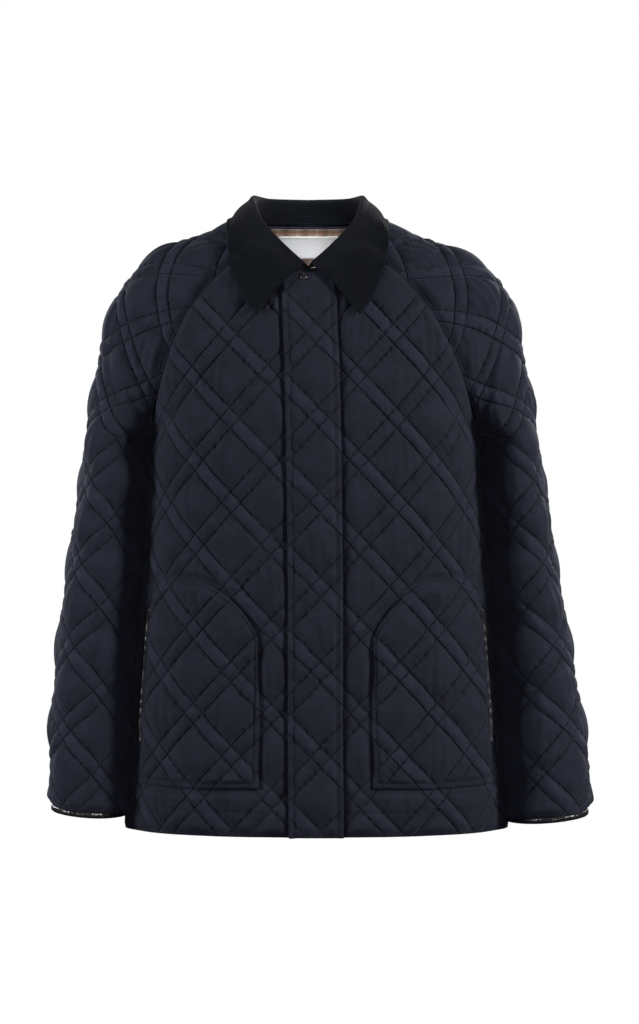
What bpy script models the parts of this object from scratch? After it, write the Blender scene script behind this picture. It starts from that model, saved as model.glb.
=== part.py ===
"""Quilted barn jacket with raglan sleeves, filled out as worn on a general figure.

Metres, +Z up, the front faces -Y and the wearer's left is +X. The origin is the middle of the neck
opening at the height of the shoulder points. Every piece is a wall made from rows of points: u is the
distance along a row, v the distance from row to row, and a quilted piece is raised in its outer points.
"""
import math

import bmesh
import bpy
import numpy as np
from mathutils import Vector, geometry
from mathutils.bvhtree import BVHTree

# ---------------------------------------------------------------- driving sizes
WALL = 0.003                 # face cloth, wadding and lining, quilted together
SEAM = 0.0006                # each piece stops this far short of its seam line
LAY = 0.0005                 # space under a piece that lies on another
PUFF = 0.0040                # height of a quilted diamond over its stitch lines
QUILT_ACROSS = 0.090         # lattice period across the cloth
QUILT_DOWN = 0.097           # lattice period down the cloth
QUILT_BAND = 0.25            # share of the period between two paired stitch lines
BEND = 2.3                   # roundness of the body's sections
PLACKET_HALF = 0.0310        # half of the storm flap's width
POCKET_WALL = 0.0026
COLLAR_WALL = 0.0024
LINING_WALL = 0.0010
LABEL_WALL = 0.0008
BINDING_DEEP = 0.0062        # height of the leather edge at a cuff
BINDING_END = 0.0018         # its ends stay this far from the sleeve's inner seam
STUD_R = 0.0045
STUD_V = 0.0625              # the stud's distance below the shoulder points
PLACKET_TOP = 0.0565         # the flap's upper end, below the front of the neck
SEAM_ROWS = 40               # rings of a sleeve along its raglan seams
STOPS = sorted({*range(0, SEAM_ROWS + 1, 2), *range(SEAM_ROWS - 12, SEAM_ROWS + 1)})
LEAN = 0.28                  # how much a sleeve leans away from the body at its seams
BOW = dict(body=0.0018, sleeve=0.0009)   # a straight side may leave the curved cloth by this much
NECK_X = -0.007              # the neck sits this far off the hem's middle

# ---------------------------------------------------------------- tables (metres, degrees)
# Body: height, middle, half width and depth of the front, half width and depth of the back.
BODY = [
    dict(z=0.030, mid=-0.007, front_w=0.070, front_d=0.046, back_w=0.070, back_d=0.038),
    dict(z=0.013, mid=-0.007, front_w=0.074, front_d=0.054, back_w=0.085, back_d=0.056),
    dict(z=0.000, mid=-0.007, front_w=0.078, front_d=0.059, back_w=0.125, back_d=0.071),
    dict(z=-0.020, mid=-0.007, front_w=0.088, front_d=0.068, back_w=0.151, back_d=0.087),
    dict(z=-0.050, mid=-0.006, front_w=0.146, front_d=0.083, back_w=0.175, back_d=0.103),
    dict(z=-0.090, mid=-0.005, front_w=0.185, front_d=0.096, back_w=0.192, back_d=0.118),
    dict(z=-0.120, mid=-0.004, front_w=0.195, front_d=0.104, back_w=0.197, back_d=0.126),
    dict(z=-0.165, mid=-0.002, front_w=0.199, front_d=0.112, back_w=0.199, back_d=0.133),
    dict(z=-0.205, mid=-0.001, front_w=0.198, front_d=0.117, back_w=0.198, back_d=0.136),
    dict(z=-0.250, mid=0.000, front_w=0.1955, front_d=0.120, back_w=0.1955, back_d=0.136),
    dict(z=-0.330, mid=0.001, front_w=0.1970, front_d=0.121, back_w=0.1970, back_d=0.132),
    dict(z=-0.420, mid=0.002, front_w=0.2025, front_d=0.121, back_w=0.2025, back_d=0.128),
    dict(z=-0.500, mid=0.002, front_w=0.2080, front_d=0.120, back_w=0.2080, back_d=0.126),
    dict(z=-0.600, mid=0.002, front_w=0.2150, front_d=0.119, back_w=0.2150, back_d=0.125),
    dict(z=-0.706, mid=0.003, front_w=0.2225, front_d=0.119, back_w=0.2225, back_d=0.125),
]
HEM_Z = -0.706
ARMPIT_Z = -0.246

# Raglan seams: height and angle round the body from its middle line, neck first.
FRONT_SEAM = [
    dict(z=-0.020, turn=37.0), dict(z=-0.050, turn=40.0), dict(z=-0.090, turn=44.5),
    dict(z=-0.120, turn=49.5), dict(z=-0.140, turn=53.0), dict(z=-0.165, turn=58.0),
    dict(z=-0.200, turn=66.0), dict(z=-0.220, turn=71.5), dict(z=-0.238, turn=80.0),
    dict(z=-0.246, turn=90.0),
]
BACK_SEAM = [
    dict(z=0.013, turn=42.0), dict(z=0.000, turn=40.5), dict(z=-0.030, turn=43.5),
    dict(z=-0.060, turn=48.0), dict(z=-0.100, turn=53.0), dict(z=-0.150, turn=60.0),
    dict(z=-0.200, turn=69.0), dict(z=-0.236, turn=80.0), dict(z=-0.246, turn=90.0),
]
# Front neckline: angle from the middle line and height there. The back neckline is level.
FRONT_NECK = [
    dict(turn=0.0, z=-0.050), dict(turn=6.0, z=-0.0465), dict(turn=14.0, z=-0.039),
    dict(turn=22.0, z=-0.031), dict(turn=30.0, z=-0.0245), dict(turn=37.0, z=-0.020),
]
BACK_NECK_Z = 0.013

# Shoulder line of each sleeve from neck to armpit: distance out from x = 0, and height.
RIDGE = {
    "right": [
        dict(out=0.0780, z=0.0120), dict(out=0.1100, z=0.0010), dict(out=0.1340, z=-0.0065),
        dict(out=0.1575, z=-0.0140), dict(out=0.1760, z=-0.0215), dict(out=0.1985, z=-0.0355),
        dict(out=0.2205, z=-0.0590), dict(out=0.2335, z=-0.0815), dict(out=0.2420, z=-0.1050),
        dict(out=0.2485, z=-0.1285), dict(out=0.2535, z=-0.1525), dict(out=0.2580, z=-0.1765),
        dict(out=0.2620, z=-0.2000), dict(out=0.2665, z=-0.2475),
    ],
    "left": [
        dict(out=0.0640, z=0.0120), dict(out=0.0960, z=0.0010), dict(out=0.1200, z=-0.0065),
        dict(out=0.1440, z=-0.0140), dict(out=0.1650, z=-0.0215), dict(out=0.1910, z=-0.0355),
        dict(out=0.2185, z=-0.0590), dict(out=0.2315, z=-0.0815), dict(out=0.2385, z=-0.1050),
        dict(out=0.2435, z=-0.1285), dict(out=0.2475, z=-0.1525), dict(out=0.2515, z=-0.1765),
        dict(out=0.2555, z=-0.2000), dict(out=0.2615, z=-0.2475),
    ],
}
# Sleeve below the armpit: height, inner and outer edge, middle and half depth, slope of the section.
SLEEVE = {
    "right": [
        dict(z=-0.246, near=0.1975, far=0.2665, y=0.000, half_d=0.066, slope=0.00),
        dict(z=-0.265, near=0.2000, far=0.2690, y=0.000, half_d=0.066, slope=0.01),
        dict(z=-0.290, near=0.2010, far=0.2720, y=-0.001, half_d=0.066, slope=0.02),
        dict(z=-0.340, near=0.2035, far=0.2800, y=-0.003, half_d=0.065, slope=0.04),
        dict(z=-0.400, near=0.2070, far=0.2885, y=-0.006, half_d=0.063, slope=0.06),
        dict(z=-0.460, near=0.2115, far=0.2960, y=-0.009, half_d=0.061, slope=0.07),
        dict(z=-0.520, near=0.2150, far=0.3025, y=-0.012, half_d=0.059, slope=0.08),
        dict(z=-0.580, near=0.2180, far=0.3070, y=-0.015, half_d=0.057, slope=0.09),
        dict(z=-0.640, near=0.2210, far=0.3090, y=-0.018, half_d=0.055, slope=0.10),
        dict(z=-0.6885, near=0.2235, far=0.3090, y=-0.020, half_d=0.053, slope=0.10),
    ],
    "left": [
        dict(z=-0.246, near=0.1975, far=0.2615, y=0.000, half_d=0.066, slope=0.00),
        dict(z=-0.265, near=0.2005, far=0.2645, y=0.000, half_d=0.066, slope=0.01),
        dict(z=-0.290, near=0.2020, far=0.2680, y=-0.001, half_d=0.066, slope=0.02),
        dict(z=-0.340, near=0.2045, far=0.2760, y=-0.003, half_d=0.065, slope=0.04),
        dict(z=-0.400, near=0.2095, far=0.2845, y=-0.006, half_d=0.063, slope=0.06),
        dict(z=-0.460, near=0.2140, far=0.2945, y=-0.009, half_d=0.061, slope=0.07),
        dict(z=-0.520, near=0.2180, far=0.3045, y=-0.012, half_d=0.059, slope=0.07),
        dict(z=-0.580, near=0.2215, far=0.3145, y=-0.015, half_d=0.057, slope=0.08),
        dict(z=-0.640, near=0.2250, far=0.3215, y=-0.018, half_d=0.055, slope=0.09),
        dict(z=-0.6945, near=0.2275, far=0.3230, y=-0.020, half_d=0.053, slope=0.10),
    ],
}

# Collar, neck to edge, for one half: place along it from the back, then roll line and outer edge
# measured from the neck's middle.
COLLAR = [
    dict(along=0.00, roll=(0.000, 0.054, 0.045), edge=(0.000, 0.094, -0.002)),
    dict(along=0.22, roll=(0.044, 0.043, 0.045), edge=(0.070, 0.073, 0.003)),
    dict(along=0.42, roll=(0.063, 0.008, 0.044), edge=(0.091, 0.008, 0.012)),
    dict(along=0.56, roll=(0.060, -0.026, 0.030), edge=(0.094, -0.034, -0.004)),
    dict(along=0.68, roll=(0.053, -0.047, 0.012), edge=(0.091, -0.066, -0.038)),
    dict(along=0.82, roll=(0.037, -0.066, -0.010), edge=(0.082, -0.086, -0.070)),
    dict(along=0.92, roll=(0.018, -0.079, -0.030), edge=(0.070, -0.096, -0.093)),
    dict(along=1.00, roll=(0.003, -0.087, -0.044), edge=(0.0588, -0.103, -0.1075)),
]

# Pocket outlines on the front: distance out from the middle line and height.
POCKET = [
    dict(out=0.206, z=-0.416), dict(out=0.190, z=-0.412), dict(out=0.162, z=-0.411),
    dict(out=0.135, z=-0.413), dict(out=0.117, z=-0.420), dict(out=0.101, z=-0.431),
    dict(out=0.084, z=-0.447), dict(out=0.073, z=-0.463), dict(out=0.067, z=-0.478),
    dict(out=0.065, z=-0.540), dict(out=0.065, z=-0.600), dict(out=0.066, z=-0.650),
    dict(out=0.130, z=-0.652), dict(out=0.226, z=-0.650), dict(out=0.224, z=-0.612),
    dict(out=0.222, z=-0.560), dict(out=0.219, z=-0.510), dict(out=0.214, z=-0.460),
    dict(out=0.209, z=-0.440),
]
BINDING_TOP, BINDING_LOW = -0.445, -0.606      # ends of the pocket's leather edge
BINDING_WIDE = 0.0065
LINING_DEEP, LINING_HALF = 0.085, 0.054
LABEL_TOP, LABEL_DEEP, LABEL_HALF = 0.012, 0.034, 0.036

COLOURS = {
    "wool": ((0.016, 0.018, 0.030), 0.85, 0.0),
    "rib": ((0.008, 0.009, 0.014), 0.9, 0.0),
    "leather": ((0.006, 0.006, 0.008), 0.28, 0.0),
    "lining": ((0.12, 0.085, 0.066), 0.85, 0.0),
    "label": ((0.62, 0.63, 0.65), 0.55, 0.0),
    "metal": ((0.42, 0.42, 0.44), 0.25, 1.0),
}


# ---------------------------------------------------------------- helpers
def column(table, name):
    return np.array([row[name] for row in table])


def smooth_table(table, key, names, at):
    """Values of the named columns at the given keys, on smooth curves through the rows."""
    x = column(table, key)
    order = np.argsort(x)
    x = x[order]
    out = []
    for name in names:
        y = column(table, name)[order]
        slope = np.gradient(y, x)
        i = np.clip(np.searchsorted(x, at) - 1, 0, len(x) - 2)
        h = x[i + 1] - x[i]
        t = np.clip((at - x[i]) / h, 0.0, 1.0)
        out.append((2 * t ** 3 - 3 * t ** 2 + 1) * y[i] + (t ** 3 - 2 * t ** 2 + t) * h * slope[i]
                   + (3 * t ** 2 - 2 * t ** 3) * y[i + 1] + (t ** 3 - t ** 2) * h * slope[i + 1])
    return out


def soft_step(x):
    x = np.clip(x, 0.0, 1.0)
    return x * x * (3.0 - 2.0 * x)


def body_point(z, turn, back=False):
    """Point of the body at a height and a signed angle from its middle line (+ is the wearer's left)."""
    z, turn = np.broadcast_arrays(np.asarray(z, float), np.asarray(turn, float))
    side = ("back_w", "back_d") if back else ("front_w", "front_d")
    mid, wide, deep = smooth_table(BODY, "z", ("mid",) + side, z)
    a = np.radians(np.clip(turn, -90.0, 90.0))
    x = mid + wide * np.sign(a) * np.abs(np.sin(a)) ** (2.0 / BEND)
    y = deep * np.abs(np.cos(a)) ** (2.0 / BEND)
    return np.stack([x, y if back else -y, z], axis=-1)


def even(points, count):
    """The same line with evenly spaced points."""
    s = np.concatenate([[0.0], np.cumsum(np.linalg.norm(np.diff(points[:, :3], axis=0), axis=1))])
    t = np.linspace(0.0, s[-1], count)
    return np.stack([np.interp(t, s, points[:, k]) for k in range(points.shape[1])], axis=1)


def seam_line(table, sign, back):
    """Raglan seam from neck to armpit: its points in space with their height and angle."""
    z = column(table, "z")
    at = np.linspace(z[0], z[-1], 240)
    turn = sign * np.interp(-at, -z, column(table, "turn"))
    return even(np.column_stack([body_point(at, turn, back), at, turn]), SEAM_ROWS + 1)


class Sheet:
    """Cloth as rows of points: u along a row from the datum column, v from row to row."""

    def __init__(self, rows, v, datum):
        step = np.linalg.norm(np.diff(rows, axis=1), axis=2)
        run = np.concatenate([np.zeros((len(rows), 1)), np.cumsum(step, axis=1)], axis=1)
        self.u = run - run[:, datum:datum + 1]
        self.rows, self.v = rows, np.asarray(v)
        self.seams = []                                      # (points, normals) shared with a neighbour

    def row(self, v):
        r = float(np.interp(v, self.v, np.arange(len(self.v))))
        i = min(int(r), len(self.v) - 2)
        f = r - i
        return (self.u[i] * (1 - f) + self.u[i + 1] * f,
                self.rows[i] * (1 - f) + self.rows[i + 1] * f)

    def point(self, u, v):
        along, points = self.row(v)
        return np.array([np.interp(u, along, points[:, k]) for k in range(3)])

    def normal(self, u, v, h=0.004):
        du = self.point(u + h, v) - self.point(u - h, v)
        dv = self.point(u, v + h) - self.point(u, v - h)
        n = np.cross(dv, du)
        return n / max(np.linalg.norm(n), 1e-12)

    def lifted(self, u, v, height):
        """A point moved out; along a seam both pieces move out the same way."""
        p, n = self.point(u, v), self.normal(u, v)
        for points, normals, most in self.seams:
            gap = np.linalg.norm(points - p, axis=1)
            k = int(gap.argmin())
            share = float(soft_step(1.25 - gap[k] / 0.012)) * most[k]
            n = n * (1 - share) + normals[k] * share
        return p + n / np.linalg.norm(n) * height


def body_sheet(back):
    """Front (u to the wearer's left) or back (u to the wearer's right), seen from outside."""
    z = np.linspace(0.028, HEM_Z - 0.012, 190)
    turn = np.linspace(-90.0, 90.0, 181)
    turn = turn[::-1] if back else turn
    rows = np.stack([body_point(np.full_like(turn, level), turn, back) for level in z])
    v = -z
    if back:
        middle = rows[:, 90]
        v = np.concatenate([[0.0], np.cumsum(np.linalg.norm(np.diff(middle, axis=0), axis=1))])
        v = v - np.interp(-BACK_NECK_Z, -z, v)
    return Sheet(rows, v, 90)


def cubic(a, b, c, d, t):
    t = t[:, None]
    return (1 - t) ** 3 * a + 3 * (1 - t) ** 2 * t * b + 3 * (1 - t) * t ** 2 * c + t ** 3 * d


def sleeve_sheet(side):
    """Raglan sleeve: rings over the shoulder from neck to armpit, then closed rings to the cuff."""
    sign = -1.0 if side == "right" else 1.0
    front, back = (seam_line(t, sign, b)[:, :3] for t, b in ((FRONT_SEAM, False), (BACK_SEAM, True)))
    ridge = np.array([[sign * r["out"], 0.0, r["z"]] for r in RIDGE[side]])
    s = np.linspace(0, len(ridge) - 1, 300)
    fine = np.stack([np.interp(s, np.arange(len(ridge)), ridge[:, k]) for k in range(3)], axis=1)
    kernel = np.hanning(31) / np.hanning(31).sum()
    padded = np.concatenate([np.repeat(fine[:1], 15, 0), fine, np.repeat(fine[-1:], 15, 0)])
    soft = np.stack([np.convolve(padded[:, k], kernel, "valid") for k in range(3)], axis=1)
    soft[0], soft[-1] = fine[0], fine[-1]
    ridge = even(soft, 41)
    low = SLEEVE[side]
    t = np.linspace(0.0, 1.0, 33)
    rows = []
    for i in range(41):
        up = 1.0 - i / 40.0                                  # 1 at the neck, 0 at the armpit
        blend = float(soft_step(up / 0.42))
        f, m, b = front[i], ridge[i], back[i]
        halves = []
        for end, forward in ((f, -1.0), (b, 1.0)):
            chord = m - end
            size = np.linalg.norm(chord)
            reach = 4.0 / 3.0 * low[0]["half_d"] - 2.0 / 3.0 * abs(end[1])
            step = np.array([chord[0], -forward * 0.62 * abs(chord[0]), 0.0])
            step = step / np.linalg.norm(step) + np.array([0.0, 0.0, chord[2] / size])
            lead = (1 - blend) * reach * np.array([sign * LEAN, forward, 0.0]) + blend * 0.36 * size * step
            top = ((1 - blend) * reach + blend * 0.40 * size) * np.array([0.0, forward, 0.0])
            halves.append(cubic(end, end + lead, m + top, m, t))
        rows.append(np.concatenate([halves[0], halves[1][::-1][1:]]))
    z = np.linspace(low[0]["z"], low[-1]["z"], 76)[1:]
    near, far, mid, half_d, slope = smooth_table(low, "z", ("near", "far", "y", "half_d", "slope"), z)
    for k in range(len(z)):
        inner = np.array([sign * near[k], mid[k], z[k] - slope[k] * (far[k] - near[k]) / 2])
        outer = np.array([sign * far[k], mid[k], z[k] + slope[k] * (far[k] - near[k]) / 2])
        reach = np.array([0.0, 4.0 / 3.0 * half_d[k], 0.0])
        lean = np.array([sign * LEAN * reach[1], 0.0, 0.0])
        ahead = cubic(inner, inner - reach + lean, outer - reach, outer, t)
        behind = cubic(outer, outer + reach, inner + reach + lean, inner, t)
        rows.append(np.concatenate([ahead, behind[1:]]))
    rows = np.array(rows)
    if side == "right":
        rows = rows[:, ::-1]
    middle = rows[:, 32]
    v = np.concatenate([[0.0], np.cumsum(np.linalg.norm(np.diff(middle, axis=0), axis=1))])
    return Sheet(rows, v, 32)


def join_seams(body, sleeve, table, sign, back):
    """Give a body sheet and a sleeve the mean of their normals along their raglan seam."""
    line = seam_line(table, sign, back)
    find = on_back if back else on_front
    edge = -1 if back == (sign > 0) else 0
    own = np.array([body.normal(*find(body, *row[3:])) for row in line])
    other = np.array([sleeve.normal(sleeve.u[i, edge], sleeve.v[i]) for i in range(len(line))])
    mean = (own + other) / np.linalg.norm(own + other, axis=1)[:, None]
    share = soft_step(((own * other).sum(axis=1) - 0.2) / 0.4)   # none in the fold under the arm
    for sheet in (body, sleeve):
        sheet.seams.append((line[:, :3], mean, share))


# ---------------------------------------------------------------- flat outlines and quilting
def resample(points, gap):
    """A flat line with its corners kept and no side longer than the gap."""
    out = [tuple(points[0])]
    for a, b in zip(points[:-1], points[1:]):
        a, b = np.asarray(a, float), np.asarray(b, float)
        n = max(1, math.ceil(np.linalg.norm(b - a) / gap))
        out += [tuple(a + (b - a) * k / n) for k in range(1, n + 1)]
    return out


def ring(*lines):
    """One closed outline from lines that follow each other."""
    out = []
    for line in lines:
        for p in line:
            if not out or math.dist(p, out[-1]) > 1e-5:
                out.append(tuple(p))
    if math.dist(out[0], out[-1]) < 1e-5:
        out.pop()
    return out


def edge_distance(points, outline):
    """Distance to an outline, positive inside it."""
    p = np.atleast_2d(points)
    a = np.array(outline)
    b = np.roll(a, -1, axis=0)
    ab = b - a
    t = np.clip(((p[:, None] - a) * ab).sum(2) / np.maximum((ab ** 2).sum(1), 1e-18), 0, 1)
    near = np.linalg.norm(p[:, None] - (a + t[..., None] * ab), axis=2).min(1)
    up = (a[:, 1] > p[:, None, 1]) != (b[:, 1] > p[:, None, 1])
    cut = (b[:, 0] - a[:, 0]) * (p[:, None, 1] - a[:, 1]) / np.where(ab[:, 1] == 0, 1e-18, ab[:, 1]) + a[:, 0]
    inside = (up & (p[:, None, 0] < cut)).sum(1) % 2 == 1
    return np.where(inside, near, -near)


class Quilt:
    """Diamonds between paired stitch lines; (u0, v0) is one crossing of the pairs."""

    def __init__(self, u0, v0):
        self.u0, self.v0 = u0, v0

    def cell(self, u, v):
        x, y = (u - self.u0) / QUILT_ACROSS, (v - self.v0) / QUILT_DOWN
        return x + y, x - y

    def place(self, a, b):
        return ((a + b) / 2 * QUILT_ACROSS + self.u0, (a - b) / 2 * QUILT_DOWN + self.v0)

    def height(self, u, v):
        out = 1.0
        for c in self.cell(np.asarray(u), np.asarray(v)):
            t = np.mod(c + QUILT_BAND / 2, 1.0)
            thin = np.clip(t / QUILT_BAND, 0, 1)
            wide = np.clip((t - QUILT_BAND) / (1 - QUILT_BAND), 0, 1)
            out = out * np.where(t < QUILT_BAND, 0.5 * np.sin(np.pi * thin) ** 0.8,
                                 np.sin(np.pi * wide) ** 0.8)
        return out

    def net(self, low, high):
        """Stitch lines as short straight pieces and the raised points between them, over a box."""
        corners = [self.cell(u, v) for u in (low[0], high[0]) for v in (low[1], high[1])]
        a_range = range(math.floor(min(c[0] for c in corners)) - 1, math.ceil(max(c[0] for c in corners)) + 2)
        b_range = range(math.floor(min(c[1] for c in corners)) - 1, math.ceil(max(c[1] for c in corners)) + 2)
        h, w = QUILT_BAND / 2, 1 - QUILT_BAND
        lines, spots = [], []
        for i in a_range:
            for j in b_range:
                for d in (-h, h):
                    for lo, hi in ((-h, h), (h, 1 - h)):
                        lines.append((self.place(i + d, j + lo), self.place(i + d, j + hi)))
                        lines.append((self.place(i + lo, j + d), self.place(i + hi, j + d)))
                spots += [self.place(i + h + w * s, j + h + w * t) for s in (0.3, 0.7) for t in (0.3, 0.7)]
        return lines, spots


def fill(outline, loops=(), lines=(), spots=(), merge=2e-5):
    """Triangles of a flat outline that keep the given loops, lines and points as corners."""
    points, edges = [], []

    def close(loop):
        first = len(points)
        points.extend(loop)
        edges.extend((first + k, first + (k + 1) % len(loop)) for k in range(len(loop)))
        return list(range(first, len(points)))

    face = close(outline)
    for loop in loops:
        close(loop)
    for a, b in lines:
        edges.append((len(points), len(points) + 1))
        points.extend((a, b))
    points.extend(spots)
    flat = geometry.delaunay_2d_cdt([Vector(p) for p in points], edges, [face], 0, merge, True)
    spread = np.array([p[:2] for p in flat[0]], dtype=float)
    inside = edge_distance(spread[np.array(flat[2])].mean(axis=1), outline) > 0
    triangles = [t for t, keep in zip(flat[2], inside) if keep]
    used = sorted({k for t in triangles for k in t})
    index = {k: n for n, k in enumerate(used)}
    return (np.array([flat[0][k][:2] for k in used]),
            [tuple(index[k] for k in t) for t in triangles])


def border(triangles):
    """Directed edges that only one triangle has."""
    edges = {(a, b) for t in triangles for a, b in ((t[0], t[1]), (t[1], t[2]), (t[2], t[0]))}
    return [e for e in edges if (e[1], e[0]) not in edges]


def border_loop(points, triangles):
    """The longest closed border of a set of triangles, as flat points."""
    follow, loops = dict(border(triangles)), []
    while follow:
        start, loop = next(iter(follow)), []
        k = start
        while k in follow:
            loop.append(tuple(points[k]))
            k = follow.pop(k)
        loops.append(loop)
    return max(loops, key=len)


def part_of(points, triangles, outline):
    """The triangles whose middles lie in an outline."""
    middles = points[np.array(triangles)].mean(axis=1)
    keep = [t for t, d in zip(triangles, edge_distance(middles, outline)) if d > 0]
    used = sorted({k for t in keep for k in t})
    index = {k: n for n, k in enumerate(used)}
    return points[used], [tuple(index[k] for k in t) for t in keep]


# ---------------------------------------------------------------- solids
def material(name):
    colour, roughness, metallic = COLOURS[name]
    mat = bpy.data.materials.new(name)
    mat.use_nodes = True
    shader = mat.node_tree.nodes["Principled BSDF"]
    shader.inputs["Base Color"].default_value = (*colour, 1.0)
    shader.inputs["Roughness"].default_value = roughness
    shader.inputs["Metallic"].default_value = metallic
    return mat


def add_object(name, bm, look):
    bmesh.ops.recalc_face_normals(bm, faces=bm.faces)
    mesh = bpy.data.meshes.new(name)
    bm.to_mesh(mesh)
    bm.free()
    mesh.shade_smooth()
    mesh.set_sharp_from_angle(angle=math.radians(50))
    mesh.materials.append(bpy.data.materials.get(look) or material(look))
    obj = bpy.data.objects.new(name, mesh)
    bpy.data.collections["barn_jacket"].objects.link(obj)
    return obj


def wall(name, look, outer, inner):
    """A closed wall between two skins (flat points, triangles, solid points) with one border."""
    bm = bmesh.new()
    sides = []
    for flat, triangles, solid in (outer, inner):
        verts = [bm.verts.new(p) for p in solid]
        for t in triangles:
            bm.faces.new([verts[k] for k in t])
        sides.append({tuple(np.round(flat[k], 6)): verts[k] for e in border(triangles) for k in e})
    flat, triangles, _ = outer
    for a, b in border(triangles):
        p, q = tuple(np.round(flat[a], 6)), tuple(np.round(flat[b], 6))
        bm.faces.new([sides[0][q], sides[0][p], sides[1][p], sides[1][q]])
    bmesh.ops.triangulate(bm, faces=[face for face in bm.faces if len(face.verts) > 3])
    return add_object(name, bm, look)


def place(sheet, flat, heights):
    return [sheet.lifted(u, v, h) for (u, v), h in zip(flat, heights)]


def layer(name, look, sheet, flat, triangles, low, high):
    """A piece that lies on a panel, made from the panel's own points, moved out."""
    return wall(name, look, (flat, triangles, place(sheet, flat, high)),
                (flat, triangles, place(sheet, flat, low)))


def bowed(sheet, a, b):
    """How far a straight piece between two flat points leaves the cloth."""
    mid = sheet.point((a[0] + b[0]) / 2, (a[1] + b[1]) / 2)
    return np.linalg.norm(mid - (sheet.point(*a) + sheet.point(*b)) / 2)


def clip(line, low_u, high_u):
    """The stretch of a flat line between two values of u, or None."""
    (a, b), (c, d) = sorted(line)
    if c <= low_u or a >= high_u:
        return None
    cut = lambda u: (u, b + (d - b) * (u - a) / (c - a))
    return (cut(low_u) if a < low_u else (a, b), cut(high_u) if c > high_u else (c, d))


def quilted_net(sheet, quilt, outline, band, bow):
    """The quilt's lines, halved where the cloth curves, and its raised points, inside an outline."""
    box = np.array(outline)
    lines, spots = quilt.net(box.min(0), box.max(0))
    lines = [c for c in (clip(line, *band) for line in lines) if c]
    spots = [p for p in spots if band[0] + 0.005 < p[0] < band[1] - 0.005]
    ends = np.array([p for line in lines for p in line])
    near = edge_distance(ends, outline).reshape(-1, 2)
    kept = []
    for (a, b), gap in zip(lines, near):
        if gap.max() < -0.001:
            continue
        parts = min(4, math.ceil(math.sqrt(max(bowed(sheet, a, b), 1e-9) / bow)))
        stops = [(a[0] + (b[0] - a[0]) * k / parts, a[1] + (b[1] - a[1]) * k / parts)
                 for k in range(parts + 1)]
        kept += list(zip(stops[:-1], stops[1:]))
    return kept, [p for p, d in zip(spots, edge_distance(np.array(spots), outline)) if d > 0.006]


def away(points, loops, gap):
    """The points that keep a distance from every loop."""
    for loop in loops:
        points = [p for p, d in zip(points, edge_distance(np.array(points), loop)) if abs(d) > gap]
    return points


def panel(name, sheet, outline, nets, ease, loops=(), inner_loops=(), gap=(0.040, 0.060),
          bow=BOW["body"]):
    """A quilted panel; nets are (quilt, band of u) and ease(flat) scales its puff.

    Returns the flat points and triangles of its outer and inner skins."""
    lines, spots = [], []
    for quilt, band in nets:
        more = quilted_net(sheet, quilt, outline, band, bow)
        lines, spots = lines + more[0], spots + more[1]
    flat, triangles = fill(outline, loops, lines, away(spots, loops, 0.005))
    depth = np.maximum(edge_distance(flat, outline), 0.0)
    rise = PUFF * nets[0][0].height(flat[:, 0], flat[:, 1]) * soft_step(depth / 0.012) * ease(flat)
    box = np.array(outline)
    grid = [(u, v) for u in np.arange(box[:, 0].min(), box[:, 0].max(), gap[0])
            for v in np.arange(box[:, 1].min(), box[:, 1].max(), gap[1])]
    grid = [p for p, d in zip(grid, edge_distance(np.array(grid), outline)) if d > 0.008]
    rim = border_loop(flat, triangles)
    inner_flat, inner_triangles = fill(rim, inner_loops, (), away(grid, inner_loops, 0.004), 1e-7)
    wall(name, "wool", (flat, triangles, place(sheet, flat, rise)),
         (inner_flat, inner_triangles, place(sheet, inner_flat, np.full(len(inner_flat), -WALL))))
    return (flat, triangles), (inner_flat, inner_triangles)


# ---------------------------------------------------------------- the garment's outlines
def on_front(sheet, z, turn):
    """Flat place of a body point on its sheet, by height and signed angle."""
    along, _ = sheet.row(-z)
    return float(np.interp(turn, np.linspace(-90, 90, 181), along)), -z


def on_back(sheet, z, turn):
    level = float(np.interp(-z, -np.linspace(0.028, HEM_Z - 0.012, 190), sheet.v))
    along, _ = sheet.row(level)
    return float(np.interp(-turn, np.linspace(-90, 90, 181), along)), level


def shrink(outline, gap):
    """An outline moved in by a gap, by its own corners."""
    p = np.array(outline)
    area = 0.5 * np.sum(p[:, 0] * np.roll(p[:, 1], -1) - np.roll(p[:, 0], -1) * p[:, 1])
    before, after = p - np.roll(p, 1, axis=0), np.roll(p, -1, axis=0) - p
    normals = []
    for d in (before, after):
        d = d / np.linalg.norm(d, axis=1)[:, None]
        normals.append(np.stack([-d[:, 1], d[:, 0]], axis=1) * np.sign(area))
    n = normals[0] + normals[1]
    scale = np.maximum((n * normals[0]).sum(1), 0.35)
    return [tuple(q) for q in p + n / scale[:, None] * gap]


def finer(table, keys, count):
    t = np.linspace(0, len(table) - 1, count)
    return [dict(zip(keys, vals)) for vals in
            zip(*[np.interp(t, np.arange(len(table)), column(table, k)) for k in keys])]


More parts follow.
